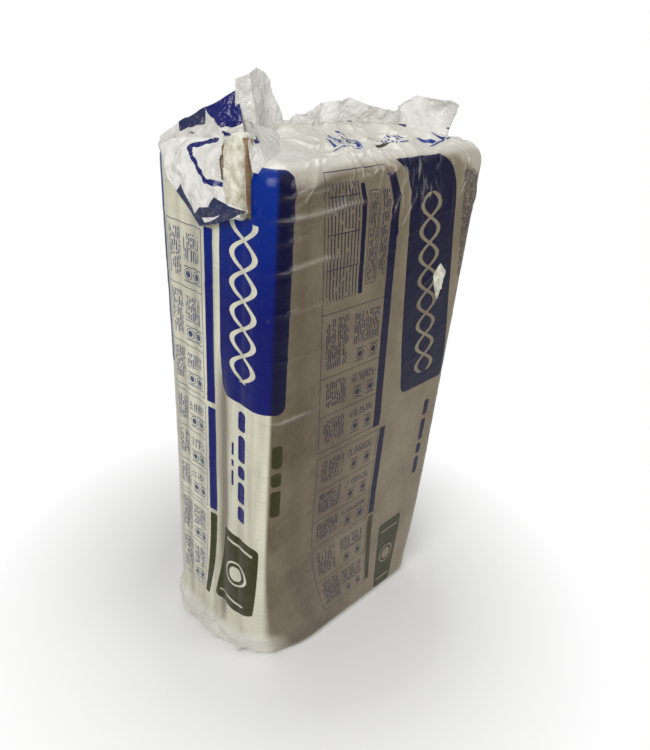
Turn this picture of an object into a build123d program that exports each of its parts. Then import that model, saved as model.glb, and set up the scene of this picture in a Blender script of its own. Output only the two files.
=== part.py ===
from build123d import *
import os
from math import cos, pi

# Bagged bundle of kraft faced fiberglass batts, standing on its folded ends.
# +X runs across the batts, Y through the stack, Z up. The origin is the middle of the flat underside.
# The kraft face of the first batt looks along -Y, and the cut edges of the batts look along -X and +X.

# Batts
batt_count = 7
batt_width = 584.0
batt_length = 2362.0
wool_thickness = 25.15      # one leg of the fold, squeezed by the bag
kraft_thickness = 0.5
bond_gap = 0.2              # asphalt coat between wool and kraft
fold_gap = 0.4              # slit between the two legs of a folded batt
stack_gap = 0.2             # between neighbouring batts
edge_bulge = 4.0            # how far the squeezed wool swells past the kraft's edge
end_bulge = 2.7             # the same for the swell beside an upright corner
least_swell = 12.0          # a narrower swell joins the next one

# Bag film
film_thickness = 1.0
film_slack = 0.3            # film to batts
top_room = 3.0              # above the cut ends of the batts
top_round = 34.0            # upper edges
corner_radius = 45.0        # upright edges
soft_corner_radius = 90.0   # upright edge behind the torn side, where the film lies slack
foot_corner_radius = 190.0  # near corner where it curls under at the floor
foot_corner_height = 330.0

# Sealed fin along the top, with a tall torn ear at its left and a lower one at its right
fin_height = 50.0
fin_wave = 7.0
fin_wave_count = 8
fin_inset = 18.0            # from the bag's right side to the end of the fin
fin_turn = 95.0             # how far its right end turns to the front
ear_height = 117.0
ear_left_inset = 72.0       # from the bag's left side to the outer edge of the ear
ear_shoulder = 0.86         # height of the ear's outer corner, as a share of its height
ear_peak = 0.42             # place of its peak, as a share of its width
ear_width = 116.0
right_ear_height = 78.0
right_ear_width = 120.0
right_ear_end = 0.6         # height of its outer end, as a share of its height

# Tear at the top of the left side, as drops below the top of the bag
tear_front = 133.0          # from the middle of the stack to the tear's front end
tear_back = 128.0
tear_drop = 98.0
tear_middle_drop = 92.0
tear_back_drop = 12.0
tear_reach = 56.0           # how far the tear runs in over the top
flap_lean = 26.0            # how far the turned-out flap stands off the side at its top
flap_front = 112.0
flap_front_drop = 96.0
flap_tip = 16.0             # width of its front tip
flap_foot = 45.0            # half the length of the foot where it hangs on the side
flap_foot_drop = 124.0
flap_back_drop = 5.0
flap_top_run = 60.0         # length of its upper edge

# Wool that springs out of the tear
lobe_drops = {2: 60.0, 3: 46.0}     # batt number to the lobe's foot, below the top of the bag
lobe_prouds = {2: 16.0, 3: 6.0}     # how far each stands out of the side
lobe_rise = 20.0
lobe_depth = 44.0           # from its face inwards
lobe_round = 9.0

# Rip in the kraft face of the first batt
rip_x = 181.0
rip_z = 903.0
rip_width = 50.0
rip_height = 88.0
rip_depth = 5.0             # hollow pulled out of the wool behind the rip

# Sizes that follow
layer = wool_thickness + bond_gap + kraft_thickness
fold_depth = 2 * layer + fold_gap
batt_pitch = fold_depth + stack_gap
stack_depth = batt_count * batt_pitch - stack_gap
fold_radius = fold_depth / 2
leg_length = (batt_length - pi * fold_radius) / 2
folded_height = leg_length + fold_radius
skin = film_thickness + film_slack
half_width = batt_width / 2 + edge_bulge + skin
half_depth = stack_depth / 2 + skin
bag_height = folded_height + top_room + 2 * skin
bottom_round = fold_radius + skin
clear_of_walls = 0.2        # keeps the end rounding from grazing the upright walls
clear_of_faces = 0.5        # keeps the curled corner off the kraft faces
room_ease = 0.1             # keeps the pressed batts' faces off the walls of the room
plan_radii = {(-1, -1): corner_radius, (1, -1): corner_radius, (1, 1): corner_radius, (-1, 1): soft_corner_radius}


def drawn_face(points):
    """Flat face inside a closed outline."""
    return Face(Wire(Polyline(*points, close=True).edges()))


def bag_side(sign, inset):
    """Plan of one side of batt edges: one swell for each batt, between the two upright corners."""
    crest = half_width - inset
    first = -half_depth + plan_radii[sign, -1]
    last = half_depth - plan_radii[sign, 1]
    valleys = [batt_pitch * (k - batt_count / 2) for k in range(1, batt_count)]
    valleys = [y for y in valleys if first + least_swell < y < last - least_swell]
    nodes = [(crest, first), *((crest - edge_bulge, y) for y in valleys), (crest, last)]
    arcs = []
    for (x_a, y_a), (x_b, y_b) in zip(nodes, nodes[1:]):
        beside_corner = first in (y_a, y_b) or last in (y_a, y_b)
        middle_x = crest - edge_bulge + end_bulge if beside_corner else crest
        arcs.append(ThreePointArc((sign * x_a, y_a), (sign * middle_x, (y_a + y_b) / 2), (sign * x_b, y_b)))
    return arcs


def bag_corner(sign_x, sign_y, inset):
    """Plan of one upright corner."""
    radius = plan_radii[sign_x, sign_y] - inset
    centre_x = sign_x * (half_width - inset - radius)
    centre_y = sign_y * (half_depth - inset - radius)
    reach = radius * cos(pi / 4)
    start = (centre_x, centre_y + sign_y * radius)
    middle = (centre_x + sign_x * reach, centre_y + sign_y * reach)
    return ThreePointArc(start, middle, (centre_x + sign_x * radius, centre_y))


def bag_plan(inset):
    """Plan of the bag: flat kraft faces, round corners and one swell for each batt edge."""
    corners = {signs: bag_corner(*signs, inset) for signs in plan_radii}
    faces = [Line(corners[-1, sign] @ 0, corners[1, sign] @ 0) for sign in (-1, 1)]
    return Face(Wire([*faces, *corners.values(), *bag_side(-1, inset), *bag_side(1, inset)]))


def bag_profile(half, inset):
    """Upright outline of the bag, half as wide as given, with rounded ends."""
    low, high = inset, bag_height - inset
    face = drawn_face([(-half, low), (half, low), (half, high), (-half, high)])
    lower = [corner for corner in face.vertices() if corner.Y < bag_height / 2]
    face = face.fillet_2d(bottom_round - inset, lower)
    upper = [corner for corner in face.vertices() if corner.Y > high - film_thickness]
    return face.fillet_2d(top_round - inset, upper)


def curled_corner(inset):
    """Block with one upright edge rounded, leaning out so that it cuts the near corner only at the foot."""
    lean = (foot_corner_radius - corner_radius) * (1 - cos(pi / 4)) / foot_corner_height
    sections = []
    for z in (0, bag_height):
        offset = clear_of_faces + lean * z - inset
        x, y = -half_width - offset, -half_depth - offset
        face = drawn_face([(x, y), (2 * half_width, y), (2 * half_width, 2 * half_depth), (x, 2 * half_depth)])
        near = face.vertices().sort_by_distance((x, y, 0))[0]
        sections.append(Pos(0, 0, z) * face.fillet_2d(foot_corner_radius - inset, [near]))
    return loft(sections, ruled=True)


def bag_form(inset):
    """Solid form of the filled bag, its surface moved in by inset."""
    form = extrude(bag_plan(inset), amount=bag_height)
    across = Plane.XZ * bag_profile(half_width - inset + clear_of_walls, inset)
    along = Plane.YZ * bag_profile(half_depth - inset + clear_of_walls, inset)
    form &= extrude(across, amount=half_depth, both=True)
    form &= extrude(along, amount=half_width, both=True)
    return form & curled_corner(inset)


def batt_y(number):
    """Middle of a batt in the stack, the first one in front."""
    return (number - (batt_count + 1) / 2) * batt_pitch


def folded_outline(y, shrink):
    """Upright section of a folded batt: two straight legs on a round fold, moved in by shrink."""
    half = fold_radius - shrink
    foot = skin + fold_radius
    top = skin + folded_height
    edges = [
        Line((0, y - half, top), (0, y - half, foot)),
        ThreePointArc((0, y - half, foot), (0, y, foot - half), (0, y + half, foot)),
        Line((0, y + half, foot), (0, y + half, top)),
        Line((0, y + half, top), (0, y - half, top)),
    ]
    return extrude(Face(Wire(edges)), amount=half_width, dir=(1, 0, 0), both=True)


def fold_slit(y):
    """Space between the two legs of a folded batt, ending above the fold."""
    foot = skin + fold_radius
    height = leg_length + top_room
    return Pos(0, y, foot + height / 2) * Box(2 * half_width, fold_gap, height)


def wool_lobe(number):
    """Wool of one batt that has sprung up and out of the tear, with soft edges all round."""
    low = bag_height - lobe_drops[number]
    high = bag_height + lobe_rise
    width = 2 * wool_thickness + fold_gap
    middle_x = -half_width - lobe_prouds[number] + lobe_depth / 2
    block = Pos(middle_x, batt_y(number), (low + high) / 2) * Box(lobe_depth, width, high - low)
    return fillet(block.edges(), lobe_round)


def tear_cutter():
    """Prism through the top of the left wall, with the slanting lower edge of the tear."""
    top = bag_height + film_thickness
    outline = drawn_face([
        (0, -tear_front, top),
        (0, -tear_front, bag_height - tear_drop),
        (0, 0, bag_height - tear_middle_drop),
        (0, tear_back, bag_height - tear_back_drop),
        (0, tear_back, top),
    ])
    prism = extrude(outline, amount=tear_reach + edge_bulge, dir=(1, 0, 0))
    return Pos(-half_width - edge_bulge, 0, 0) * prism


def turned_flap():
    """Torn film that hangs on the left side by its foot and stands further off towards its top."""
    foot = bag_height - flap_foot_drop
    top = bag_height - flap_back_drop
    wall = -half_width - film_thickness / 2
    strip = drawn_face([
        (wall, 0, foot),
        (wall - flap_lean, 0, top),
        (wall - flap_lean + film_thickness, 0, top),
        (wall + film_thickness, 0, foot),
    ])
    sheet = Pos(0, -tear_front, 0) * extrude(strip, amount=tear_front + tear_back, dir=(0, 1, 0))
    outline = drawn_face([
        (0, -flap_foot, foot),
        (0, flap_foot, foot),
        (0, tear_back, top),
        (0, tear_back - flap_top_run, top),
        (0, -flap_front, bag_height - flap_front_drop + flap_tip),
        (0, -flap_front, bag_height - flap_front_drop),
    ])
    return sheet & extrude(outline, amount=2 * half_width, dir=(-1, 0, 0))


def top_fin():
    """Sealed edge of the film along the top: a waved strip under a ragged upper outline."""
    left = -half_width + ear_left_inset
    right = half_width - fin_inset
    step = (right - left) / fin_wave_count
    ripple = []
    for k in range(fin_wave_count + 1):
        turn = max(0.0, 2 * k / fin_wave_count - 1) ** 2 * fin_turn
        ripple.append((left + k * step, fin_wave * (-1) ** k - turn, 0))
    front = Spline(*ripple)
    back = Pos(0, film_thickness, 0) * front
    ribbon = Face(Wire([front, Line(front @ 1, back @ 1), back, Line(front @ 0, back @ 0)]))
    foot = bag_height - film_thickness / 2
    strip = Pos(0, 0, foot) * extrude(ribbon, amount=2 * ear_height, dir=(0, 0, 1))
    outline = drawn_face([
        (left, 0, foot),
        (left, 0, bag_height + ear_shoulder * ear_height),
        (left + ear_peak * ear_width, 0, bag_height + ear_height),
        (left + ear_width, 0, bag_height + fin_height),
        (right - right_ear_width, 0, bag_height + fin_height),
        (right - right_ear_width / 2, 0, bag_height + right_ear_height),
        (right, 0, bag_height + right_ear_end * right_ear_height),
        (right, 0, foot),
    ])
    return strip & extrude(outline, amount=half_depth, dir=(0, 1, 0), both=True)


def rip_cutter(depth):
    """Diamond-shaped prism into the front face, as deep as given from the film's surface."""
    outline = drawn_face([
        (rip_x - rip_width / 2, 0, rip_z + rip_height / 8),
        (rip_x, 0, rip_z + rip_height / 2),
        (rip_x + rip_width / 2, 0, rip_z + rip_height / 6),
        (rip_x + rip_width / 8, 0, rip_z - rip_height / 2),
    ])
    prism = extrude(outline, amount=depth + film_thickness, dir=(0, 1, 0))
    return Pos(0, -half_depth - film_thickness, 0) * prism


def build_film():
    """Closed film sleeve with its fin, its tear and the rip in front."""
    sleeve = bag_form(0) - bag_form(film_thickness)
    sleeve -= tear_cutter()
    sleeve -= rip_cutter(skin)
    return sleeve + top_fin() + turned_flap()


def build_batt(number, room):
    """Wool and kraft of one folded batt, pressed into the room that the bag leaves."""
    y = batt_y(number)
    wool = folded_outline(y, kraft_thickness + bond_gap) - fold_slit(y)
    kraft = folded_outline(y, 0) - folded_outline(y, kraft_thickness)
    wool &= room
    kraft &= room
    if number in lobe_drops:
        wool += wool_lobe(number)
    if number == 1:
        hollow = skin + kraft_thickness + bond_gap + rip_depth
        wool -= rip_cutter(hollow)
        kraft -= rip_cutter(hollow)
    return wool, kraft


def save(shape, name):
    """Writes one node."""
    shape.label = name
    export_step(shape, os.path.join("parts", name + ".step"))


os.makedirs("parts", exist_ok=True)
save(build_film(), "bag_film")
batt_room = bag_form(skin - room_ease)
for batt_number in range(1, batt_count + 1):
    batt_wool, batt_kraft = build_batt(batt_number, batt_room)
    save(batt_wool, f"batt_{batt_number}_wool")
    save(batt_kraft, f"batt_{batt_number}_kraft")
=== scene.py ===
import functools
import logging
import math
from dataclasses import dataclass, field
from enum import Enum
from itertools import product
from typing import Optional, Sequence, Union

import bpy
import numpy as np
from mathutils import Euler, Matrix


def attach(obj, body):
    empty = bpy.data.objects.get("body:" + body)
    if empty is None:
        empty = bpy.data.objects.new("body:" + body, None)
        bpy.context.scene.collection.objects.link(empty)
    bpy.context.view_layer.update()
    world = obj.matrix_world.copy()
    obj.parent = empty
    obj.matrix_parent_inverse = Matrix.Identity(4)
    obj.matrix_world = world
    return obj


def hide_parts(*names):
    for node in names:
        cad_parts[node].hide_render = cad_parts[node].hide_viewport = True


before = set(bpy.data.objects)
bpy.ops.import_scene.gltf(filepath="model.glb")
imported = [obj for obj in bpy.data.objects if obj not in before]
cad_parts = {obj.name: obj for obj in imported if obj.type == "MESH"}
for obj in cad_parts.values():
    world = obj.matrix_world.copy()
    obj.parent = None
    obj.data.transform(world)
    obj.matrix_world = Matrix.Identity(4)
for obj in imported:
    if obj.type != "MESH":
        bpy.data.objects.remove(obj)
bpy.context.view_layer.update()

# Dresses a bagged bundle of folded, kraft faced fiberglass batts: crumpled film, wool, kraft and floor.
# Lengths are metres. X runs across the batts, Y through the stack, Z up; the kraft face looks along -Y.

log = logging.getLogger("batt_bundle")
Array = np.ndarray
Socket = bpy.types.NodeSocket
Plug = Union[float, Sequence[float], Socket]
Colour = tuple[float, float, float]
Outline = tuple[tuple[float, float], ...]
Line = tuple[tuple[float, float, float], ...]

BODY = "root"
BATT_COUNT = 7
BATT_PITCH = 0.0523
MIDDLE_BATT = (BATT_COUNT + 1) // 2
# Turns the noise lattice so that its cells follow none of the bag's faces.
LATTICE_TURN = np.asarray(Euler((0.61, 0.43, 0.87)).to_matrix())


# Numbers and noise

def smooth(low: float, high: float, x: Array) -> Array:
    """Smooth step: 0 below low, 1 above high, 3t^2 - 2t^3 between.

    Args:
        low: where the step starts.
        high: where it ends; it may lie below low, and the step then falls.
        x: values to step.

    Returns:
        The step at each value.
    """
    t = np.clip((x - low) / (high - low), 0.0, 1.0)
    return t * t * (3.0 - 2.0 * t)


def bell(x: Array, width: float) -> Array:
    """Bell curve exp(-(x / width)^2)."""
    return np.exp(-((x / width) ** 2))


def along(x: Array, places: Sequence[float], values: Sequence[float]) -> Array:
    """Values of a line of given points, with each stretch eased by a smooth step.

    Args:
        x: where to read the line.
        places: rising places of the points.
        values: the line's value at each place.

    Returns:
        The line's value at each x.
    """
    p = np.asarray(places, float)
    v = np.asarray(values, float)
    k = np.clip(np.searchsorted(p, x) - 1, 0, len(p) - 2)
    return v[k] + (v[k + 1] - v[k]) * smooth(p[k], p[k + 1], x)


def lattice(ix: Array, iy: Array, iz: Array, seed: int) -> Array:
    """Repeatable random numbers from 0 to 1 on whole lattice points, by multiplying and shifting bits.

    Args:
        ix: whole numbers along X.
        iy: whole numbers along Y.
        iz: whole numbers along Z.
        seed: picks another set of numbers.

    Returns:
        One number for each lattice point.
    """
    big = np.uint64
    h = ix.astype(big) * big(0x9E3779B97F4A7C15) + iy.astype(big) * big(0xC2B2AE3D27D4EB4F)
    h = h + iz.astype(big) * big(0x165667B19E3779F9) + big(seed) * big(0x27D4EB2F165667C5)
    h = (h ^ (h >> big(29))) * big(0xBF58476D1CE4E5B9)
    h = (h ^ (h >> big(32))) * big(0x94D049BB133111EB)
    h = h ^ (h >> big(31))
    return (h >> big(40)).astype(float) / float(1 << 24)


def noise(points: Array, cell: Union[float, Sequence[float]], seed: int) -> Array:
    """Value noise from 0 to 1: lattice numbers blended by a quintic step in each direction.

    A field with even cells lies on a turned lattice. One with three sizes lies along the axes.

    Args:
        points: places, with X, Y and Z last.
        cell: size of a lattice cell, or its three sizes.
        seed: picks another field.

    Returns:
        The field at each place.
    """
    turned = points @ LATTICE_TURN if np.ndim(cell) == 0 else points
    q = turned / np.asarray(cell, float) + 1000.0
    base = np.floor(q)
    f = q - base
    w = f * f * f * (f * (f * 6.0 - 15.0) + 10.0)
    i = base.astype(np.int64)
    total = np.zeros(points.shape[:-1])
    for dx, dy, dz in product((0, 1), repeat=3):
        share = (w[..., 0] if dx else 1 - w[..., 0]) * (w[..., 1] if dy else 1 - w[..., 1])
        share = share * (w[..., 2] if dz else 1 - w[..., 2])
        total += share * lattice(i[..., 0] + dx, i[..., 1] + dy, i[..., 2] + dz, seed)
    return total


def fractal(points: Array, cell: float, octaves: int, seed: int) -> Array:
    """Sum of noise fields, each half as large and half as strong as the one before, from -1 to 1.

    Args:
        points: places, with X, Y and Z last.
        cell: cell of the first field.
        octaves: how many fields.
        seed: picks another sum.

    Returns:
        The sum at each place.
    """
    total = np.zeros(points.shape[:-1])
    for k in range(octaves):
        total += 0.5 ** k * (2.0 * noise(points, cell * 0.5 ** k, seed + 11 * k) - 1.0)
    return total / (2.0 - 0.5 ** (octaves - 1))


def crumple(points: Array, cell: float, seed: int) -> Array:
    """Crushed film from -1 to 1: flat facets between folds, from the gap between two noise fields, thrice.

    Args:
        points: places, with X, Y and Z last.
        cell: size of the largest facets.
        seed: picks another crush.

    Returns:
        The height of the crush at each place.
    """
    total = np.zeros(points.shape[:-1])
    for k in range(3):
        size = cell * 0.55 ** k
        gap = noise(points, size, seed + 7 * k) - noise(points, size, seed + 7 * k + 3)
        total += 0.55 ** k * (1.0 - 3.0 * np.abs(gap))
    return total / 1.85


def path_distance(place: Array, corners: Sequence[tuple[float, float]]) -> Array:
    """Distance to a line of straight stretches: the least of the distances to each.

    Args:
        place: flat places, two numbers last.
        corners: the line's points in order.

    Returns:
        The distance at each place.
    """
    nearest = np.full(place.shape[:-1], np.inf)
    for a, b in zip(corners, corners[1:]):
        edge = np.subtract(b, a)
        way = place - np.asarray(a)
        t = np.clip((way @ edge) / (edge @ edge), 0.0, 1.0)
        nearest = np.minimum(nearest, np.linalg.norm(way - t[..., None] * edge, axis=-1))
    return nearest


def polygon_distance(place: Array, corners: Sequence[tuple[float, float]]) -> Array:
    """Distance to a closed outline, below 0 inside it, where a level ray crosses it an odd number of times.

    Args:
        place: flat places, two numbers last.
        corners: the outline's corners in order.

    Returns:
        The signed distance at each place.
    """
    ring = [*corners, corners[0]]
    inside = np.zeros(place.shape[:-1], bool)
    for a, b in zip(ring, ring[1:]):
        crosses = (a[1] > place[..., 1]) != (b[1] > place[..., 1])
        slope = (b[0] - a[0]) / (b[1] - a[1]) if b[1] != a[1] else 0.0
        inside ^= crosses & (place[..., 0] < a[0] + (place[..., 1] - a[1]) * slope)
    gap = path_distance(place, ring)
    return np.where(inside, -gap, gap)


# Meshes

@dataclass
class Surface:
    """A grid of points that becomes one piece, with named values at each point."""

    name: str
    points: Array
    values: dict[str, Array] = field(default_factory=dict)
    closed: bool = False
    keep: Optional[Array] = None
    normals: Optional[Array] = None
    thickness: float = 0.0

    def faces(self) -> Array:
        """Corner numbers of the grid's four-sided faces that are kept.

        Returns:
            One row of four point numbers for each face.
        """
        rows, cols = self.points.shape[:2]
        index = np.arange(rows * cols).reshape(rows, cols)
        if self.closed:
            index = np.concatenate([index, index[:, :1]], axis=1)
        quads = np.stack([index[:-1, :-1], index[:-1, 1:], index[1:, 1:], index[1:, :-1]], axis=-1)
        quads = quads.reshape(-1, 4)
        return quads if self.keep is None else quads[self.keep.ravel()]

    def flat_size(self) -> tuple[float, float]:
        """Flat size of a sheet: the mean length of its rows and of its columns.

        Returns:
            Width and length.
        """
        wide = np.linalg.norm(np.diff(self.points, axis=1), axis=-1).sum(1).mean()
        long = np.linalg.norm(np.diff(self.points, axis=0), axis=-1).sum(0).mean()
        return float(wide), float(long)

    def build(self) -> bpy.types.Object:
        """Makes the piece from the points that its faces use.

        Returns:
            The new object, at the origin.
        """
        used, quads = np.unique(self.faces(), return_inverse=True)
        flat = {key: value.reshape(-1, 3)[used] for key, value in self.values.items()}
        places = self.points.reshape(-1, 3)[used]
        piece = make_piece(self.name, places, quads.reshape(-1, 4), flat, self.thickness)
        if self.normals is not None:
            piece.data.normals_split_custom_set_from_vertices(self.normals.reshape(-1, 3)[used].tolist())
        return piece


def make_piece(
    name: str,
    places: Array,
    quads: Array,
    values: Optional[dict[str, Array]] = None,
    thickness: float = 0.0,
) -> bpy.types.Object:
    """Puts points, faces and values into a new mesh object as whole arrays.

    Args:
        name: the piece's name.
        places: points, one row each.
        quads: point numbers of the faces, one row each.
        values: named vectors at the points.
        thickness: wall given by a Solidify modifier, or 0 for none.

    Returns:
        The new object, at the origin.
    """
    mesh = bpy.data.meshes.new(name)
    sides = quads.shape[1]
    mesh.vertices.add(len(places))
    mesh.vertices.foreach_set("co", np.ascontiguousarray(places, np.float32).ravel())
    mesh.loops.add(quads.size)
    mesh.loops.foreach_set("vertex_index", np.ascontiguousarray(quads, np.int32).ravel())
    mesh.polygons.add(len(quads))
    mesh.polygons.foreach_set("loop_start", np.arange(0, quads.size, sides, dtype=np.int32))
    mesh.polygons.foreach_set("use_smooth", np.ones(len(quads), bool))
    for key, value in (values or {}).items():
        attribute = mesh.attributes.new(key, "FLOAT_VECTOR", "POINT")
        attribute.data.foreach_set("vector", np.ascontiguousarray(value, np.float32).ravel())
    mesh.update(calc_edges=True)
    mesh.validate()
    piece = bpy.data.objects.new(name, mesh)
    bpy.context.scene.collection.objects.link(piece)
    if thickness:
        wall = piece.modifiers.new("wall", "SOLIDIFY")
        wall.thickness = thickness
        wall.offset = 0.0
    return piece


def dress(piece: bpy.types.Object, material: bpy.types.Material, nodes: Sequence[str]) -> None:
    """Gives a piece its material and its body, and hides the CAD nodes that it stands for.

    Args:
        piece: the object.
        material: its material.
        nodes: CAD nodes that it replaces.
    """
    piece.data.materials.clear()
    piece.data.materials.append(material)
    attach(piece, BODY)
    if nodes:
        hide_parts(*nodes)
    log.info("%s: %d points, %d faces", piece.name, len(piece.data.vertices), len(piece.data.polygons))


# The filled bag's form

@dataclass(frozen=True)
class BagForm:
    """The filled bag as a function of u, the way round from its near edge, and v, the way up its wall.

    Corners are listed from the near one round to the left back one: near, right front, right back, left back.
    """

    half_width: float = 0.2973
    half_depth: float = 0.18425
    height: float = 1.1717
    corners: tuple[float, ...] = (0.045, 0.045, 0.045, 0.090)
    foot_corners: tuple[float, ...] = (0.205, 0.075, 0.080, 0.100)
    foot_rise: float = 0.42
    waist: float = 0.012
    foot_round: float = 0.0274
    head_round: float = 0.034
    crown: float = 0.024

    @property
    def runs(self) -> list[float]:
        """Ways round the eight stretches, corner and wall by turns.

        Returns:
            Their lengths, from the near corner and the front round to the left side.
        """
        wide, deep = 2 * self.half_width, 2 * self.half_depth
        near, front, back, left = self.corners
        flats = (wide - near - front, deep - front - back, wide - back - left, deep - left - near)
        return [run for pair in zip((c * math.pi / 2 for c in self.corners), flats) for run in pair]

    @property
    def corner_ways(self) -> list[float]:
        """Places of the upright corners.

        Returns:
            The u at the middle of the left back corner, of the near one and of the others, once round.
        """
        runs = self.runs
        ways = [-(runs[0] / 2 + runs[7] + runs[6] / 2), 0.0]
        for k in (0, 2, 4):
            ways.append(ways[-1] + runs[k] / 2 + runs[k + 1] + runs[k + 2] / 2)
        return ways

    @property
    def low_v(self) -> float:
        """The v at the middle of the underside."""
        return self.foot_round - self.foot_round * math.pi / 2 - (self.half_depth - self.foot_round)

    @property
    def high_v(self) -> float:
        """The v at the middle of the top."""
        edge = self.height - self.head_round + self.head_round * math.pi / 2
        return edge + self.half_depth - self.head_round

    def plan(self, z: Array, inset: Array) -> tuple[Array, Array, Array]:
        """Plan at a height: the half sizes and four corner radii, the radii opening towards the foot.

        Args:
            z: height.
            inset: how far the plan is drawn in.

        Returns:
            Half width, half depth and the radii, with the four corners first.
        """
        low = np.clip(1 - z / self.foot_rise, 0.0, 1.0) ** 2
        half_x = self.half_width - inset
        half_y = np.maximum(self.half_depth - inset, 0.0004)
        radii = np.stack([c + (f - c) * low - inset for c, f in zip(self.corners, self.foot_corners)])
        return half_x, half_y, np.clip(radii, 0.3 * np.minimum(half_y, 0.02), half_y)

    def place(self, u: Array, v: Array) -> tuple[Array, Array]:
        """Bag form: a rounded rectangle for each v, drawn in over the rounded foot and head.

        A point is the line between two corner centres plus the corner radius along the outward angle. The
        back draws in a little at mid height, and the top rises to a low crown at its middle line.

        Args:
            u: way round.
            v: way up the wall, below 0 under the bag and above the height over its top.

        Returns:
            Points and outward directions.
        """
        foot = np.clip((self.foot_round - v) / self.foot_round, 0.0, math.pi / 2)
        head_start = self.height - self.head_round
        head = np.clip((v - head_start) / self.head_round, 0.0, math.pi / 2)
        foot_flat = np.maximum(0.0, self.foot_round * (1 - math.pi / 2) - v)
        head_flat = np.maximum(0.0, v - head_start - self.head_round * math.pi / 2)
        z = np.clip(v, self.foot_round, head_start)
        z = z - self.foot_round * np.sin(foot) + self.head_round * np.sin(head)
        inset = self.foot_round * (1 - np.cos(foot)) + self.head_round * (1 - np.cos(head))
        half_x, half_y, radii = self.plan(z, inset + foot_flat + head_flat)
        ends = np.concatenate([[0.0], np.cumsum(self.runs)])
        s = np.mod(u + self.runs[0] / 2, ends[-1])
        k = np.clip(np.searchsorted(ends, s, side="right") - 1, 0, 7)
        t = (s - ends[k]) / np.asarray(self.runs)[k]
        which = np.asarray([0, 0, 1, 1, 2, 2, 3, 3, 0])
        across = np.asarray([-1, 1, 1, -1])
        deep = np.asarray([-1, -1, 1, 1])
        quarter = np.asarray([180, 270, 270, 360, 360, 450, 450, 540, 540], float)
        first, second = which[k], which[k + 1]
        r_a = np.take_along_axis(radii, first[None], 0)[0]
        r_b = np.take_along_axis(radii, second[None], 0)[0]
        turn = np.radians(quarter[k] + (quarter[k + 1] - quarter[k]) * t)
        radius = r_a + (r_b - r_a) * t
        x_a, x_b = across[first] * (half_x - r_a), across[second] * (half_x - r_b)
        y_a, y_b = deep[first] * (half_y - r_a), deep[second] * (half_y - r_b)
        x = x_a + (x_b - x_a) * t + radius * np.cos(turn)
        y = y_a + (y_b - y_a) * t + radius * np.sin(turn)
        y = y - self.drawn_in(y, z)
        z = z + self.crown * smooth(0.0, self.half_depth, head_flat)
        tilt = head - foot
        out = np.stack([np.cos(turn) * np.cos(tilt), np.sin(turn) * np.cos(tilt), np.sin(tilt)], -1)
        return np.stack([x, y, z], -1), out

    def hold_inside(self, points: Array, margin: float) -> Array:
        """Presses points into the bag: those outside its rounded plan move to the plan's edge.

        Args:
            points: places, with X, Y and Z last.
            margin: room left to the film.

        Returns:
            The moved points.
        """
        z = np.clip(points[..., 2], margin, self.height - margin)
        foot = np.clip(1 - z / self.foot_round, 0.0, 1.0)
        head = np.clip(1 - (self.height - z) / self.head_round, 0.0, 1.0)
        inset = margin + self.foot_round * (1 - np.sqrt(1 - foot ** 2))
        inset = inset + self.head_round * (1 - np.sqrt(1 - head ** 2))
        half_x, half_y, radii = self.plan(z, inset)
        x = np.clip(points[..., 0], -half_x, half_x)
        y = np.clip(points[..., 1], -half_y, half_y)
        corner = np.where(y < 0, np.where(x < 0, 0, 1), np.where(x < 0, 3, 2))
        radius = np.maximum(np.take_along_axis(radii, corner[None], 0)[0], 0.004)
        over_x = np.maximum(np.abs(x) - (half_x - radius), 0.0)
        over_y = np.maximum(np.abs(y) - (half_y - radius), 0.0)
        reach = np.hypot(over_x, over_y)
        back = np.where(reach > radius, 1 - radius / np.maximum(reach, 1e-9), 0.0)
        x = x - np.sign(x) * over_x * back
        y = y - np.sign(y) * over_y * back
        return np.stack([x, y - self.drawn_in(y, z), z], -1)

    def drawn_in(self, y: Array, z: Array) -> Array:
        """How far the back half draws in: a squared sine of the height, more towards the back."""
        rise = np.clip(z / self.height, 0.0, 1.0)
        return self.waist * np.sin(math.pi * rise) ** 2 * smooth(0.0, self.half_depth, y)


BAG = BagForm()


# Shader helpers

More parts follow.
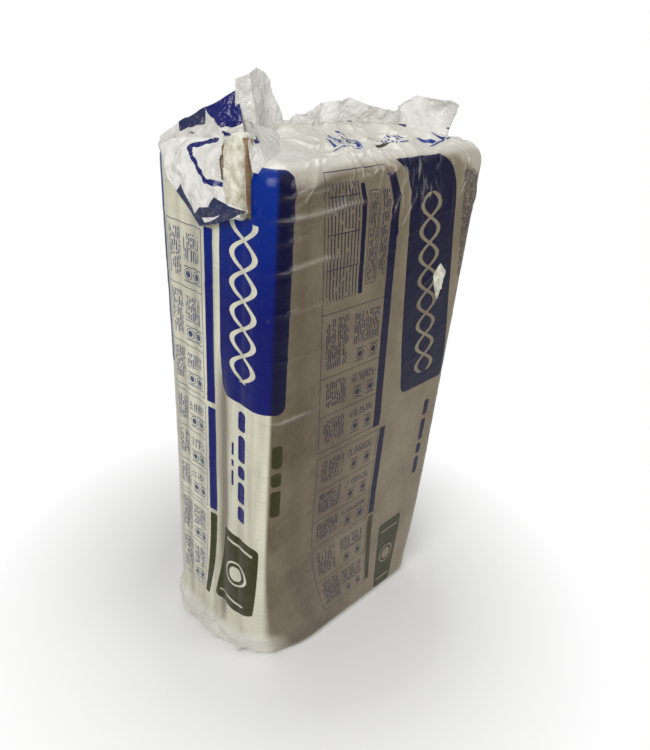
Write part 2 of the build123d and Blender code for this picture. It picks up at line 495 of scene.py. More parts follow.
class Nodes:
    """A material's node tree, with short ways to add nodes."""

    def __init__(self, name: str) -> None:
        """Starts an empty material with an output.

        Args:
            name: the material's name.
        """
        self.material = bpy.data.materials.new(name)
        self.material.use_nodes = True
        self.tree = self.material.node_tree
        self.tree.nodes.clear()
        self.output = self.add("ShaderNodeOutputMaterial")

    def add(self, kind: str, **options: object) -> bpy.types.Node:
        """Adds a node and sets its options.

        Args:
            kind: Blender's name of the node.
            options: properties to set.

        Returns:
            The node.
        """
        node = self.tree.nodes.new(kind)
        for key, value in options.items():
            setattr(node, key, value)
        return node

    def plug(self, socket: Socket, value: Plug) -> None:
        """Links a socket to another, or sets its value.

        Args:
            socket: the input.
            value: another socket, or a plain value.
        """
        if isinstance(value, bpy.types.NodeSocket):
            self.tree.links.new(socket, value)
        else:
            socket.default_value = value

    def math(self, operation: str, a: Plug, b: Plug = 0.0) -> Socket:
        """Adds one sum.

        Args:
            operation: Blender's name of the sum.
            a: first number.
            b: second number.

        Returns:
            The result.
        """
        node = self.add("ShaderNodeMath", operation=operation)
        self.plug(node.inputs[0], a)
        self.plug(node.inputs[1], b)
        return node.outputs[0]

    def vector(self, operation: str, a: Plug, b: Plug = (0.0, 0.0, 0.0)) -> bpy.types.Node:
        """Adds one vector sum.

        Args:
            operation: Blender's name of the sum.
            a: first vector.
            b: second vector.

        Returns:
            Its node, whose outputs are a vector and a number.
        """
        node = self.add("ShaderNodeVectorMath", operation=operation)
        self.plug(node.inputs[0], a)
        self.plug(node.inputs[1], b)
        return node

    def mix(self, share: Plug, a: Plug, b: Plug) -> Socket:
        """Mixes two colours.

        Args:
            share: how much of the second.
            a: first colour.
            b: second colour.

        Returns:
            The mixed colour.
        """
        node = self.add("ShaderNodeMix", data_type="RGBA")
        self.plug(node.inputs[0], share)
        self.plug(node.inputs[6], colour4(a))
        self.plug(node.inputs[7], colour4(b))
        return node.outputs[2]

    def split(self, vector: Socket) -> tuple[Socket, Socket, Socket]:
        """Splits a vector.

        Args:
            vector: the vector.

        Returns:
            Its three numbers.
        """
        node = self.add("ShaderNodeSeparateXYZ")
        self.plug(node.inputs[0], vector)
        return node.outputs[0], node.outputs[1], node.outputs[2]

    def join(self, x: Plug, y: Plug, z: Plug = 0.0) -> Socket:
        """Joins three numbers.

        Args:
            x: first number.
            y: second number.
            z: third number.

        Returns:
            Their vector.
        """
        node = self.add("ShaderNodeCombineXYZ")
        for socket, value in zip(node.inputs, (x, y, z)):
            self.plug(socket, value)
        return node.outputs[0]

    def value(self, name: str) -> tuple[Socket, Socket, Socket]:
        """Reads one of the piece's own vectors as three numbers."""
        node = self.add("ShaderNodeAttribute", attribute_name=name)
        return self.split(node.outputs["Vector"])

    def object_place(self) -> Socket:
        """Reads the Object coordinates."""
        return self.add("ShaderNodeTexCoord").outputs["Object"]

    def noise(self, place: Socket, scale: float, detail: float = 3.0, rough: float = 0.55) -> Socket:
        """Adds a noise texture.

        Args:
            place: coordinates.
            scale: cells in a metre.
            detail: octaves.
            rough: strength of each octave.

        Returns:
            The noise, from 0 to 1.
        """
        node = self.add("ShaderNodeTexNoise")
        self.plug(node.inputs["Vector"], place)
        node.inputs["Scale"].default_value = scale
        node.inputs["Detail"].default_value = detail
        node.inputs["Roughness"].default_value = rough
        return node.outputs[0]

    def creases(self, place: Socket, scale: float) -> Socket:
        """Creased film: soft noise folded at its middle, which leaves sharp valleys."""
        return self.math("ABSOLUTE", self.math("SUBTRACT", self.noise(place, scale, 2.0), 0.5))

    def ramp(self, x: Plug, low: float, high: float, start: float = 0.0, end: float = 1.0) -> Socket:
        """Maps low to start and high to end, held at both ends.

        Args:
            x: number to map.
            low: lower end of its range.
            high: upper end of its range.
            start: result at the lower end.
            end: result at the upper end.

        Returns:
            The mapped number.
        """
        node = self.add("ShaderNodeMapRange")
        for socket, value in zip(node.inputs, (x, low, high, start, end)):
            self.plug(socket, value)
        return node.outputs[0]

    def stretch(self, place: Socket, scale: Sequence[float]) -> Socket:
        """Stretches coordinates by three numbers."""
        return self.vector("MULTIPLY", place, tuple(scale)).outputs[0]

    def bump(self, height: Plug, strength: float, distance: float, normal: Optional[Socket] = None) -> Socket:
        """Adds a bump.

        Args:
            height: height field.
            strength: share of the bump.
            distance: metres for a height of 1.
            normal: bump below this one.

        Returns:
            The bumped normal.
        """
        node = self.add("ShaderNodeBump")
        node.inputs["Strength"].default_value = strength
        node.inputs["Distance"].default_value = distance
        self.plug(node.inputs["Height"], height)
        if normal is not None:
            self.plug(node.inputs["Normal"], normal)
        return node.outputs[0]

    def shader(self, **sockets: Plug) -> None:
        """Adds the principled shader, links it to the output and sets its sockets.

        Args:
            sockets: values by socket name, with _ for a space.
        """
        node = self.add("ShaderNodeBsdfPrincipled")
        for key, value in sockets.items():
            self.plug(node.inputs[key.replace("_", " ")], value)
        self.tree.links.new(self.output.inputs[0], node.outputs[0])


def colour4(colour: Plug) -> Plug:
    """Adds alpha to a colour that is three numbers, and leaves a socket as it is.

    Args:
        colour: three numbers, four numbers or a socket.

    Returns:
        Four numbers or the socket.
    """
    if isinstance(colour, bpy.types.NodeSocket) or len(colour) == 4:
        return colour
    return (*colour, 1.0)


def tone(red: int, green: int, blue: int) -> Colour:
    """Linear colour of a screen colour given from 0 to 255."""
    shares = (red / 255, green / 255, blue / 255)
    return tuple(((c + 0.055) / 1.055) ** 2.4 if c > 0.04045 else c / 12.92 for c in shares)


# Print on the film

class Ink(Enum):
    """What a printed shape is filled with."""

    PANEL = "panel blue"
    OLIVE = "olive"
    LINE = "thin slate line"
    PALE = "bare film inside a panel"


class Side(Enum):
    """Which of the bag's walls a film finish is for."""

    EDGES = "left and right, over the edges of the wool"
    FACES = "front and back, over the kraft"


class Form(Enum):
    """How a printed shape is drawn."""

    FILL = "filled"
    FRAME = "outline"
    BARS = "rows of plain broken bars"
    LOOPS = "wavy loops, the drawing sign for soft insulation"
    GRID = "table lines"
    RING = "round ring with a spot"


@dataclass(frozen=True)
class Printed:
    """One printed shape: its middle and half size in u and v, its ink, form, corner radius and pitch."""

    u: float
    v: float
    half_u: float
    half_v: float
    ink: Ink
    form: Form = Form.FILL
    radius: float = 0.0015
    pitch: float = 0.0052


def span(
    u0: float,
    u1: float,
    v0: float,
    v1: float,
    ink: Ink,
    form: Form = Form.FILL,
    **more: float,
) -> Printed:
    """Printed shape from its lowest and highest u and v.

    Args:
        u0: lowest u.
        u1: highest u.
        v0: lowest v.
        v1: highest v.
        ink: its ink.
        form: how it is drawn.
        more: corner radius and pitch.

    Returns:
        The shape.
    """
    return Printed((u0 + u1) / 2, (v0 + v1) / 2, (u1 - u0) / 2, (v1 - v0) / 2, ink, form, **more)


def info_column(u0: float, u1: float, tops: Sequence[float], foot: float) -> list[Printed]:
    """A column of framed fields, each with two blocks of plain bars and two small rings.

    Args:
        u0: lowest u of the column.
        u1: highest u.
        tops: upper v of each field, from the top down.
        foot: lower v of the last field.

    Returns:
        The shapes.
    """
    shapes = []
    wide = u1 - u0
    inner = wide / 14
    middle = u0 + 0.46 * wide
    ring_half, ring_low, ring_high = 0.013, 0.012, 0.042
    for top, low in zip(tops, [*tops[1:], foot]):
        shapes.append(span(u0, u1, low, top, Ink.LINE, Form.FRAME))
        shapes.append(span(u0 + inner, middle - inner / 2, low + 0.018, top - 0.012, Ink.LINE, Form.BARS))
        shapes.append(span(middle + inner / 2, u1 - inner, low + 0.052, top - 0.016, Ink.LINE, Form.BARS))
        for share in (0.62, 0.85):
            at = u0 + share * wide
            ring = (at - ring_half, at + ring_half, low + ring_low, low + ring_high)
            shapes.append(span(*ring, Ink.LINE, Form.RING))
    return shapes


def dash_row(u0: float, u1: float, top: float, lengths: Sequence[float], ink: Ink) -> list[Printed]:
    """A row of plain round-ended bars down the film.

    Args:
        u0: lowest u of the bars.
        u1: highest u.
        top: upper v of the first bar.
        lengths: length of each bar.
        ink: their ink.

    Returns:
        The shapes.
    """
    shapes = []
    gap = 0.011
    for length in lengths:
        shapes.append(span(u0, u1, top - length, top, ink, radius=(u1 - u0) * 0.35))
        top -= length + gap
    return shapes


def print_plan(side: Side) -> list[Printed]:
    """The print of one kind of wall: faces lie at u above 0, edges at u below 0, and the corner is on both.

    Args:
        side: the kind of wall.

    Returns:
        The shapes, lower ones first.
    """
    corner = 0.040
    plan = [
        span(-0.127, 0.033, 0.738, 1.171, Ink.PANEL, radius=0.018),
        span(-0.100, -0.026, 0.785, 1.080, Ink.PALE, Form.LOOPS),
        span(-0.124, -0.010, 0.165, 0.402, Ink.OLIVE, radius=0.014),
        span(-0.110, -0.024, 0.190, 0.380, Ink.PALE, Form.RING),
        span(-0.334, -0.298, 0.740, 1.150, Ink.PANEL),
        span(-0.171, -0.149, 0.700, 1.048, Ink.PANEL),
        span(-0.169, -0.147, 0.425, 0.688, Ink.PANEL),
        span(-0.168, -0.147, 0.150, 0.414, Ink.OLIVE),
        span(0.284, 0.307, 0.600, 1.145, Ink.PANEL),
        span(0.312, 0.336, 0.335, 0.588, Ink.PANEL),
        span(0.312, 0.336, 0.090, 0.326, Ink.OLIVE),
        span(0.204, 0.216, 0.935, 1.135, Ink.PANEL),
        span(0.120, 0.200, 0.935, 1.140, Ink.LINE, Form.GRID, pitch=0.0085),
        span(0.224, 0.252, 0.950, 1.120, Ink.LINE, Form.FRAME, radius=0.006),
        span(0.228, 0.249, 0.955, 1.115, Ink.LINE, Form.BARS, pitch=0.0038),
        span(0.258, 0.280, 0.960, 1.120, Ink.LINE, Form.BARS, pitch=0.0045),
        span(0.112, 0.289, 0.912, 1.158, Ink.LINE, Form.FRAME),
        span(0.446, 0.614, 0.655, 1.166, Ink.PANEL, radius=0.018),
        span(0.494, 0.566, 0.690, 1.100, Ink.PALE, Form.LOOPS),
        span(0.434, 0.530, 0.020, 0.265, Ink.OLIVE, radius=0.014),
        span(0.446, 0.518, 0.050, 0.236, Ink.PALE, Form.RING),
        span(0.642, 0.690, 0.700, 1.130, Ink.LINE, Form.BARS, pitch=0.0048),
        span(0.210, 0.300, 1.222, 1.262, Ink.LINE, Form.FRAME),
        span(0.236, 0.250, 1.232, 1.282, Ink.PANEL),
        span(0.268, 0.276, 1.224, 1.256, Ink.OLIVE),
        span(0.286, 0.300, 1.215, 1.290, Ink.PANEL),
        span(0.460, 0.520, 1.236, 1.262, Ink.PANEL, Form.BARS, pitch=0.011),
        span(0.470, 0.530, 1.212, 1.220, Ink.OLIVE),
        span(0.540, 0.600, 1.226, 1.240, Ink.PANEL),
        span(0.190, 0.300, 1.210, 1.2135, Ink.PANEL),
        span(0.205, 0.217, 1.222, 1.262, Ink.PANEL),
        span(0.225, 0.290, 1.224, 1.250, Ink.LINE, Form.BARS),
        span(0.540, 0.620, 1.244, 1.268, Ink.PANEL, Form.BARS, pitch=0.008),
        span(0.640, 0.740, 1.212, 1.216, Ink.PANEL),
        span(0.668, 0.684, 1.218, 1.246, Ink.PANEL),
        span(0.706, 0.718, 1.218, 1.238, Ink.PANEL),
    ]
    plan += info_column(0.112, 0.289, (0.912, 0.778, 0.690), 0.604)
    plan += info_column(0.114, 0.306, (0.588, 0.500, 0.415), 0.335)
    plan += info_column(0.114, 0.306, (0.325, 0.210), 0.085)
    plan += info_column(-0.292, -0.180, (1.040, 0.920, 0.800), 0.700)
    plan += info_column(-0.290, -0.178, (0.688, 0.600, 0.510), 0.425)
    plan += info_column(-0.288, -0.178, (0.414, 0.290), 0.160)
    plan += dash_row(-0.074, -0.052, 0.722, (0.044, 0.062, 0.030, 0.052, 0.040), Ink.PANEL)
    plan += dash_row(-0.094, -0.087, 0.640, (0.030, 0.016, 0.038), Ink.PANEL)
    plan += dash_row(0.010, 0.032, 0.668, (0.052, 0.034, 0.066), Ink.OLIVE)
    plan += dash_row(0.548, 0.566, 0.600, (0.044, 0.062, 0.030, 0.052), Ink.PANEL)
    plan += dash_row(0.600, 0.618, 0.600, (0.052, 0.034, 0.066), Ink.OLIVE)
    if side is Side.EDGES:
        return [shape for shape in plan if shape.u - shape.half_u < corner]
    return [shape for shape in plan if shape.u + shape.half_u > -corner]


class FilmPrint:
    """Turns the printed shapes into masks in a film material's nodes."""

    soft: float = 0.0006
    line: float = 0.0008
    wave_length: float = 0.105
    wave_half: float = 0.0060

    def __init__(self, nodes: Nodes, u: Socket, v: Socket) -> None:
        """Keeps the material's nodes and the film's own place.

        Args:
            nodes: the material's nodes.
            u: way round.
            v: way up.
        """
        self.nodes = nodes
        self.u = u
        self.v = v
        self.place = nodes.join(u, v)

    def beyond(self, shape: Printed) -> Socket:
        """How far a place lies past a shape's inner box, which is the box less its corner radius all round.

        Args:
            shape: the printed shape.

        Returns:
            The length of what is past the inner box, 0 inside it.
        """
        n = self.nodes
        away = n.vector("SUBTRACT", self.place, (shape.u, shape.v, 0.0)).outputs[0]
        inner = (shape.half_u - shape.radius, shape.half_v - shape.radius, 0.0)
        past = n.vector("SUBTRACT", n.vector("ABSOLUTE", away).outputs[0], inner).outputs[0]
        return n.vector("LENGTH", n.vector("MAXIMUM", past).outputs[0]).outputs["Value"]

    def inside(self, shape: Printed) -> Socket:
        """Mask of a shape's box: 1 inside, soft by a hair at its edge."""
        low, high = shape.radius - self.soft, shape.radius + self.soft
        return self.nodes.ramp(self.beyond(shape), low, high, 1.0, 0.0)

    def bars(self, shape: Printed) -> Socket:
        """Plain bars: bands across u, broken along v by noise that differs in each band.

        Args:
            shape: the block of bars.

        Returns:
            Mask of the bars.
        """
        n = self.nodes
        count = n.math("DIVIDE", self.u, shape.pitch)
        band = n.math("LESS_THAN", n.math("FRACT", count), 0.56)
        row = n.math("FLOOR", count)
        breaks = n.noise(n.join(n.math("MULTIPLY", row, 3.71), self.v), 130.0, 1.0)
        gaps = n.noise(n.join(n.math("MULTIPLY", row, 1.37), n.math("MULTIPLY", self.v, 0.16)), 95.0, 0.0)
        broken = n.math("MULTIPLY", n.ramp(breaks, 0.40, 0.46), n.ramp(gaps, 0.34, 0.36))
        return n.math("MULTIPLY", band, broken)

    def loops(self, shape: Printed) -> Socket:
        """Wavy loops: two lines that swing across u as a sine of v, half a wave apart.

        Args:
            shape: the box that the loops fill.

        Returns:
            Mask of the loops.
        """
        n = self.nodes
        wave = n.math("SINE", n.math("MULTIPLY", self.v, 2 * math.pi / self.wave_length))
        swing = n.math("MULTIPLY", wave, 0.80 * shape.half_u)
        middle = n.math("SUBTRACT", self.u, shape.u)
        masks = []
        for sign in ("SUBTRACT", "ADD"):
            gap = n.math("ABSOLUTE", n.math(sign, middle, swing))
            masks.append(n.ramp(gap, self.wave_half, self.wave_half + 2 * self.soft, 1.0, 0.0))
        return n.math("MAXIMUM", *masks)

    def grid(self, shape: Printed) -> Socket:
        """Table lines: thin lines at an even pitch across u, some left bare, and at a wide pitch along v.

        Args:
            shape: the table.

        Returns:
            Mask of the lines.
        """
        n = self.nodes
        count = n.math("DIVIDE", self.u, shape.pitch)
        across = n.math("LESS_THAN", n.math("FRACT", count), 0.34)
        breaks = n.noise(n.join(n.math("MULTIPLY", n.math("FLOOR", count), 2.3), self.v), 60.0, 1.0)
        across = n.math("MULTIPLY", across, n.ramp(breaks, 0.36, 0.42))
        up = n.math("LESS_THAN", n.math("FRACT", n.math("DIVIDE", self.v, 7.3 * shape.pitch)), 0.03)
        return n.math("MAXIMUM", across, up)

    def rings(self, shape: Printed) -> Socket:
        """A thin ring with a solid round spot in its middle, and two bars above and below.

        Args:
            shape: the box that the ring fills across u.

        Returns:
            Mask of the ring, the spot and the bars.
        """
        n = self.nodes
        far = n.vector("DISTANCE", self.place, (shape.u, shape.v, 0.0)).outputs["Value"]
        spot = n.ramp(far, 0.50 * shape.half_u, 0.53 * shape.half_u, 1.0, 0.0)
        gap = n.math("ABSOLUTE", n.math("SUBTRACT", far, 0.82 * shape.half_u))
        ring = n.ramp(gap, 0.055 * shape.half_u, 0.075 * shape.half_u, 1.0, 0.0)
        rise = n.math("ABSOLUTE", n.math("SUBTRACT", self.v, shape.v))
        ends = n.math("GREATER_THAN", rise, shape.half_v - 0.16 * shape.half_u)
        return n.math("MAXIMUM", n.math("MAXIMUM", spot, ring), ends)

    def larger(self, masks: Sequence[Socket]) -> Socket:
        """The largest of several masks at each place."""
        return functools.reduce(lambda a, b: self.nodes.math("MAXIMUM", a, b), masks)

    def drawn(self, shape: Printed, box: Socket) -> Socket:
        """Mask of a printed shape inside its box, by its form.

        Args:
            shape: the printed shape.
            box: mask of its box, or of all the boxes drawn like it.

        Returns:
            Its mask.
        """
        ways = {Form.BARS: self.bars, Form.LOOPS: self.loops, Form.GRID: self.grid, Form.RING: self.rings}
        if shape.form not in ways:
            return box
        return self.nodes.math("MULTIPLY", box, ways[shape.form](shape))

    def frame(self, shape: Printed) -> Socket:
        """Mask of a thin line along the edge of a shape's box."""
        gap = self.nodes.math("SUBTRACT", self.beyond(shape), shape.radius)
        return self.nodes.math("LESS_THAN", self.nodes.math("ABSOLUTE", gap), self.line)

    def masks(self, plan: Sequence[Printed]) -> dict[Ink, Socket]:
        """Joins the shapes of each ink by taking the larger mask; blocks of one pitch share one set of bars.

        Args:
            plan: the printed shapes.

        Returns:
            One mask for each ink.
        """
        made: dict[Ink, list[Socket]] = {}
        blocks: dict[tuple[Ink, float], list[Printed]] = {}
        for shape in plan:
            if shape.form is Form.BARS:
                blocks.setdefault((shape.ink, shape.pitch), []).append(shape)
            elif shape.form is Form.FRAME:
                made.setdefault(shape.ink, []).append(self.frame(shape))
            else:
                made.setdefault(shape.ink, []).append(self.drawn(shape, self.inside(shape)))
        for (ink, _), shapes in blocks.items():
            box = self.larger([self.inside(shape) for shape in shapes])
            made.setdefault(ink, []).append(self.drawn(shapes[0], box))
        return {ink: self.larger(masks) for ink, masks in made.items()}


# Finishes

@dataclass(frozen=True)
class FilmFinish:
    """Glossy milky film, tight over wool or kraft, with its print."""

    wool_tone: Colour = tone(214, 212, 192)
    # groove_tone: grey of the wool under the film, used for random mottling and streaks, and as painted shade
    # in the hollows between batts.
    groove_tone: Colour = tone(128, 121, 108)
    kraft_tone: Colour = tone(134, 123, 103)
    kraft_dark: Colour = tone(88, 77, 61)
    milk_on_wool: Colour = tone(216, 214, 205)
    milk_on_kraft: Colour = tone(186, 180, 166)
    blue_on_wool: Colour = tone(0, 10, 94)
    blue_bright: Colour = tone(0, 48, 140)
    blue_on_kraft: Colour = tone(6, 5, 44)
    olive_on_wool: Colour = tone(46, 47, 6)
    olive_on_kraft: Colour = tone(50, 49, 18)
    line_on_wool: Colour = tone(62, 72, 106)
    line_on_kraft: Colour = tone(34, 34, 56)
    roughness: float = 0.24
    # Place round the face of a painted shade band: a soft dark vertical band on the kraft near the corner.
    kraft_shade_band: float = 0.062

    def build(self, side: Side) -> bpy.types.Material:
        """Film over wool or kraft: its tone by the film's own values with painted shade in the hollows, then
        print, painted highlights on fold crests, gloss and fine crinkle.

        Args:
            side: the kind of wall whose print it has.

        Returns:
            The material.
        """
        n = Nodes(f"printed_film_{side.name.lower()}")
        u, v, kraft = n.value("film_place")
        loose, groove_shade, lift = n.value("film_state")
        place = n.object_place()
        cloud = n.noise(place, 7.0, 4.0)
        fine = n.noise(n.stretch(place, (1.0, 1.0, 0.35)), 160.0, 3.0)
        drawn = n.noise(n.stretch(n.join(u, v), (2.5, 190.0, 1.0)), 1.0, 3.0)
        wool = n.mix(n.ramp(cloud, 0.30, 0.72, 0.0, 0.22), self.wool_tone, self.groove_tone)
        wool = n.mix(n.ramp(drawn, 0.50, 0.74, 0.0, 0.20), wool, self.groove_tone)
        streak = n.noise(n.stretch(place, (1.0, 1.0, 0.10)), 24.0, 3.0)
        wool = n.mix(n.ramp(streak, 0.50, 0.72, 0.0, 0.45), wool, self.groove_tone)
        # Painted shade: the wool darkens towards the groove tone in the hollows between the batts.
        wool = n.mix(groove_shade, wool, self.groove_tone)
        bright = n.math("ADD", n.ramp(cloud, 0.35, 0.68, 0.0, 0.55), n.ramp(u, 0.06, 0.46, 0.0, 0.45))
        paper = n.mix(bright, self.kraft_dark, self.kraft_tone)
        paper = n.mix(n.ramp(fine, 0.40, 0.75, 0.0, 0.25), paper, self.kraft_tone)
        # Painted shade: a soft dark vertical band on the kraft just past the near corner.
        fold = n.math("ABSOLUTE", n.math("SUBTRACT", u, self.kraft_shade_band))
        paper = n.mix(n.ramp(fold, 0.004, 0.024, 0.45, 0.0), paper, self.kraft_dark)
        under = n.mix(kraft, wool, paper)
        milk = n.mix(kraft, self.milk_on_wool, self.milk_on_kraft)
        milk = n.mix(n.ramp(cloud, 0.42, 0.70, 0.0, 0.30), milk, self.kraft_tone)
        colour = n.mix(n.ramp(loose, 0.05, 0.90, 0.0, 0.92), under, milk)
        inks = FilmPrint(n, u, v).masks(print_plan(side))
        blue = n.mix(n.ramp(v, 0.92, 1.16, 0.0, 0.7), self.blue_on_wool, self.blue_bright)
        pairs = {
            Ink.LINE: (self.line_on_wool, self.line_on_kraft),
            Ink.OLIVE: (self.olive_on_wool, self.olive_on_kraft),
            Ink.PANEL: (blue, self.blue_on_kraft),
        }
        worn = n.ramp(fine, 0.26, 0.36, 0.94, 1.0)
        bare = n.math("SUBTRACT", 1.0, inks[Ink.PALE])
        for ink, (on_wool, on_kraft) in pairs.items():
            mask = n.math("MULTIPLY", inks[ink], worn)
            if ink is not Ink.LINE:
                mask = n.math("MULTIPLY", mask, bare)
            colour = n.mix(mask, colour, n.mix(kraft, on_wool, on_kraft))
        # Painted highlight: fold and wrinkle crests are lightened towards the milk tone, over the print too;
        # in part this is the paler film where it stands off the kraft.
        colour = n.mix(n.ramp(lift, 0.30, 1.0, 0.0, 0.35), colour, milk)
        crinkle = n.noise(n.stretch(place, (0.6, 0.6, 1.6)), 60.0, 5.0, 0.6)
        shine = n.math("MAXIMUM", loose, lift)
        normal = n.bump(crinkle, 0.40, 0.0016)
        normal = n.bump(drawn, 0.20, 0.0007, normal)
        normal = n.bump(n.math("MULTIPLY", n.creases(place, 30.0), shine), 0.55, 0.0060, normal)
        clouded = n.ramp(cloud, 0.3, 0.7, self.roughness - 0.06, self.roughness + 0.10)
        rough = n.math("SUBTRACT", clouded, n.math("MULTIPLY", shine, 0.06))
        gloss = n.ramp(shine, 0.1, 0.8, 0.18, 0.55)
        n.shader(Base_Color=colour, Roughness=rough, Normal=normal, Specular_IOR_Level=gloss)
        return n.material


@dataclass(frozen=True)
class LooseFilmFinish:
    """Crushed film that stands free: milky, a little see-through, with scraps of print."""

    milk_tone: Colour = tone(240, 239, 234)
    # shade_tone: painted shade in the crushed film's hollows and creases.
    shade_tone: Colour = tone(200, 197, 187)
    blue_tone: Colour = tone(6, 18, 104)
    slate_tone: Colour = tone(34, 42, 82)
    olive_tone: Colour = tone(76, 78, 36)
    alpha: float = 0.84
    roughness: float = 0.20

    def build(self) -> bpy.types.Material:
        """Loose film: pale, with painted shade in its hollows and creases, and ink where the piece's own
        values say.

        Returns:
            The material.
        """
        n = Nodes("loose_film")
        blue, slate, olive = n.value("film_ink")
        hollow, _, _ = n.value("film_state")
        place = n.object_place()
        cloud = n.noise(place, 22.0, 4.0)
        # Painted shade: greyer where the crush is hollow.
        colour = n.mix(n.ramp(n.math("MULTIPLY", hollow, cloud), 0.05, 0.50), self.milk_tone, self.shade_tone)
        crease = n.creases(place, 19.0)
        # Painted shade: darker along the creases.
        colour = n.mix(n.ramp(crease, 0.0, 0.05, 0.34, 0.0), colour, self.shade_tone)
        worn = n.ramp(n.noise(place, 130.0, 3.0), 0.30, 0.42, 0.88, 1.0)
        for mask, ink in ((slate, self.slate_tone), (olive, self.olive_tone), (blue, self.blue_tone)):
            colour = n.mix(n.math("MULTIPLY", n.ramp(mask, 0.35, 0.65), worn), colour, ink)
        normal = n.bump(cloud, 1.0, 0.016)
        normal = n.bump(crease, 0.9, 0.010, normal)
        normal = n.bump(n.creases(place, 52.0), 0.6, 0.0034, normal)
        n.shader(Base_Color=colour, Roughness=self.roughness, Normal=normal, Alpha=self.alpha,
                 Specular_IOR_Level=0.50)
        return n.material


@dataclass(frozen=True)
class WoolFinish:
    """Off-white glass wool with painted shade in its hollows and fine fibres."""

    pale: Colour = tone(222, 221, 208)
    # hollow: painted shade between the tufts.
    hollow: Colour = tone(178, 171, 146)
    speck: Colour = tone(150, 134, 102)

    def build(self) -> bpy.types.Material:
        """Wool: pale on its tufts, darker and yellower between them as painted shade, with streaks of fibre
        and a soft sheen.

        Returns:
            The material.
        """
        n = Nodes("glass_wool")
        place = n.object_place()
        tuft = n.noise(place, 60.0, 5.0, 0.65)
        fibre = n.noise(n.stretch(place, (260.0, 900.0, 120.0)), 1.0, 4.0, 0.7)
        spots = n.noise(place, 240.0, 2.0)
        # Painted shade: darker between the tufts, where the same noise sinks the bump.
        colour = n.mix(n.ramp(tuft, 0.35, 0.60), self.hollow, self.pale)
        colour = n.mix(n.ramp(fibre, 0.55, 0.75, 0.0, 0.35), colour, self.pale)
        colour = n.mix(n.ramp(spots, 0.70, 0.78, 0.0, 0.5), colour, self.speck)
        normal = n.bump(tuft, 0.6, 0.004)
        normal = n.bump(fibre, 0.5, 0.0012, normal)
        n.shader(Base_Color=colour, Roughness=0.95, Normal=normal, Specular_IOR_Level=0.15, Sheen_Weight=0.15,
                 Sheen_Roughness=0.5, Subsurface_Weight=0.15, Subsurface_Radius=(0.010, 0.009, 0.007))
        return n.material


@dataclass(frozen=True)
class KraftFinish:
    """Brown kraft paper with pulp fibres and asphalt bleeding through."""

    paper: Colour = tone(136, 108, 80)
    pulp: Colour = tone(164, 137, 106)
    asphalt: Colour = tone(70, 54, 42)

    def build(self) -> bpy.types.Material:
        """Kraft: pulp streaks along the sheet, with darker patches of the asphalt coat.

        Returns:
            The material.
        """
        n = Nodes("kraft_paper")
        place = n.object_place()
        pulp = n.noise(n.stretch(place, (60.0, 60.0, 400.0)), 1.0, 4.0, 0.65)
        patch = n.noise(place, 26.0, 4.0)
        colour = n.mix(n.ramp(pulp, 0.35, 0.70), self.paper, self.pulp)
        colour = n.mix(n.ramp(patch, 0.52, 0.72, 0.0, 0.6), colour, self.asphalt)
        normal = n.bump(pulp, 0.3, 0.0006)
        n.shader(Base_Color=colour, Roughness=0.8, Normal=normal, Specular_IOR_Level=0.25)
        return n.material


@dataclass(frozen=True)
class Finishes:
    """The materials of the whole bundle."""

    film: dict[Side, bpy.types.Material]
    loose: bpy.types.Material
    wool: bpy.types.Material
    kraft: bpy.types.Material

    @classmethod
    def build(cls) -> "Finishes":
        """Builds each finish once."""
        film = {side: FilmFinish().build(side) for side in Side}
        return cls(film, LooseFilmFinish().build(), WoolFinish().build(), KraftFinish().build())


# Film sleeve

@dataclass(frozen=True)
class Fold:
    """A raised fold across the front face: height, slope, start and end across the face, and its size."""

    z: float
    slope: float
    start: float
    end: float
    rise: float
    width: float


@dataclass(frozen=True)
class Valley:
    """A hollow between two batt edges: its side, place in the stack, depth, width and span of heights."""

    sign: int
    y: float
    depth: float
    width: float = 0.010
    low: float = 0.06
    high: float = 1.14


@dataclass(frozen=True)
class Wrinkles:
    """Seeded straight folds on the unrolled film, each a sharp ridge along a short line."""

    seed: int
    count: int
    u: tuple[float, float]
    v: tuple[float, float]
    tilt: float
    spread: float
    length: tuple[float, float]
    rise: tuple[float, float]
    width: tuple[float, float]

    def height(self, u: Array, v: Array) -> Array:
        """Sum of the folds: rise / (1 + (gap / width)^2), which fades at both ends of each line.

        Args:
            u: way round.
            v: way up.

        Returns:
            The height of the folds at each place.
        """
        draw = np.random.default_rng(self.seed)
        total = np.zeros_like(u)
        for _ in range(self.count):
            mid_u, mid_v = draw.uniform(*self.u), draw.uniform(*self.v)
            angle = math.radians(draw.normal(self.tilt, self.spread))
            half, rise, width = (draw.uniform(*r) for r in (self.length, self.rise, self.width))
            bend = draw.normal(0.0, 0.12)
            near = (np.abs(u - mid_u) < half) & (np.abs(v - mid_v) < half)
            run = (u[near] - mid_u) * math.cos(angle) + (v[near] - mid_v) * math.sin(angle)
            gap = (v[near] - mid_v) * math.cos(angle) - (u[near] - mid_u) * math.sin(angle)
            gap = gap + bend * run ** 2 / half
            total[near] += rise / (1.0 + (gap / width) ** 2) * smooth(half, 0.25 * half, np.abs(run))
        return total


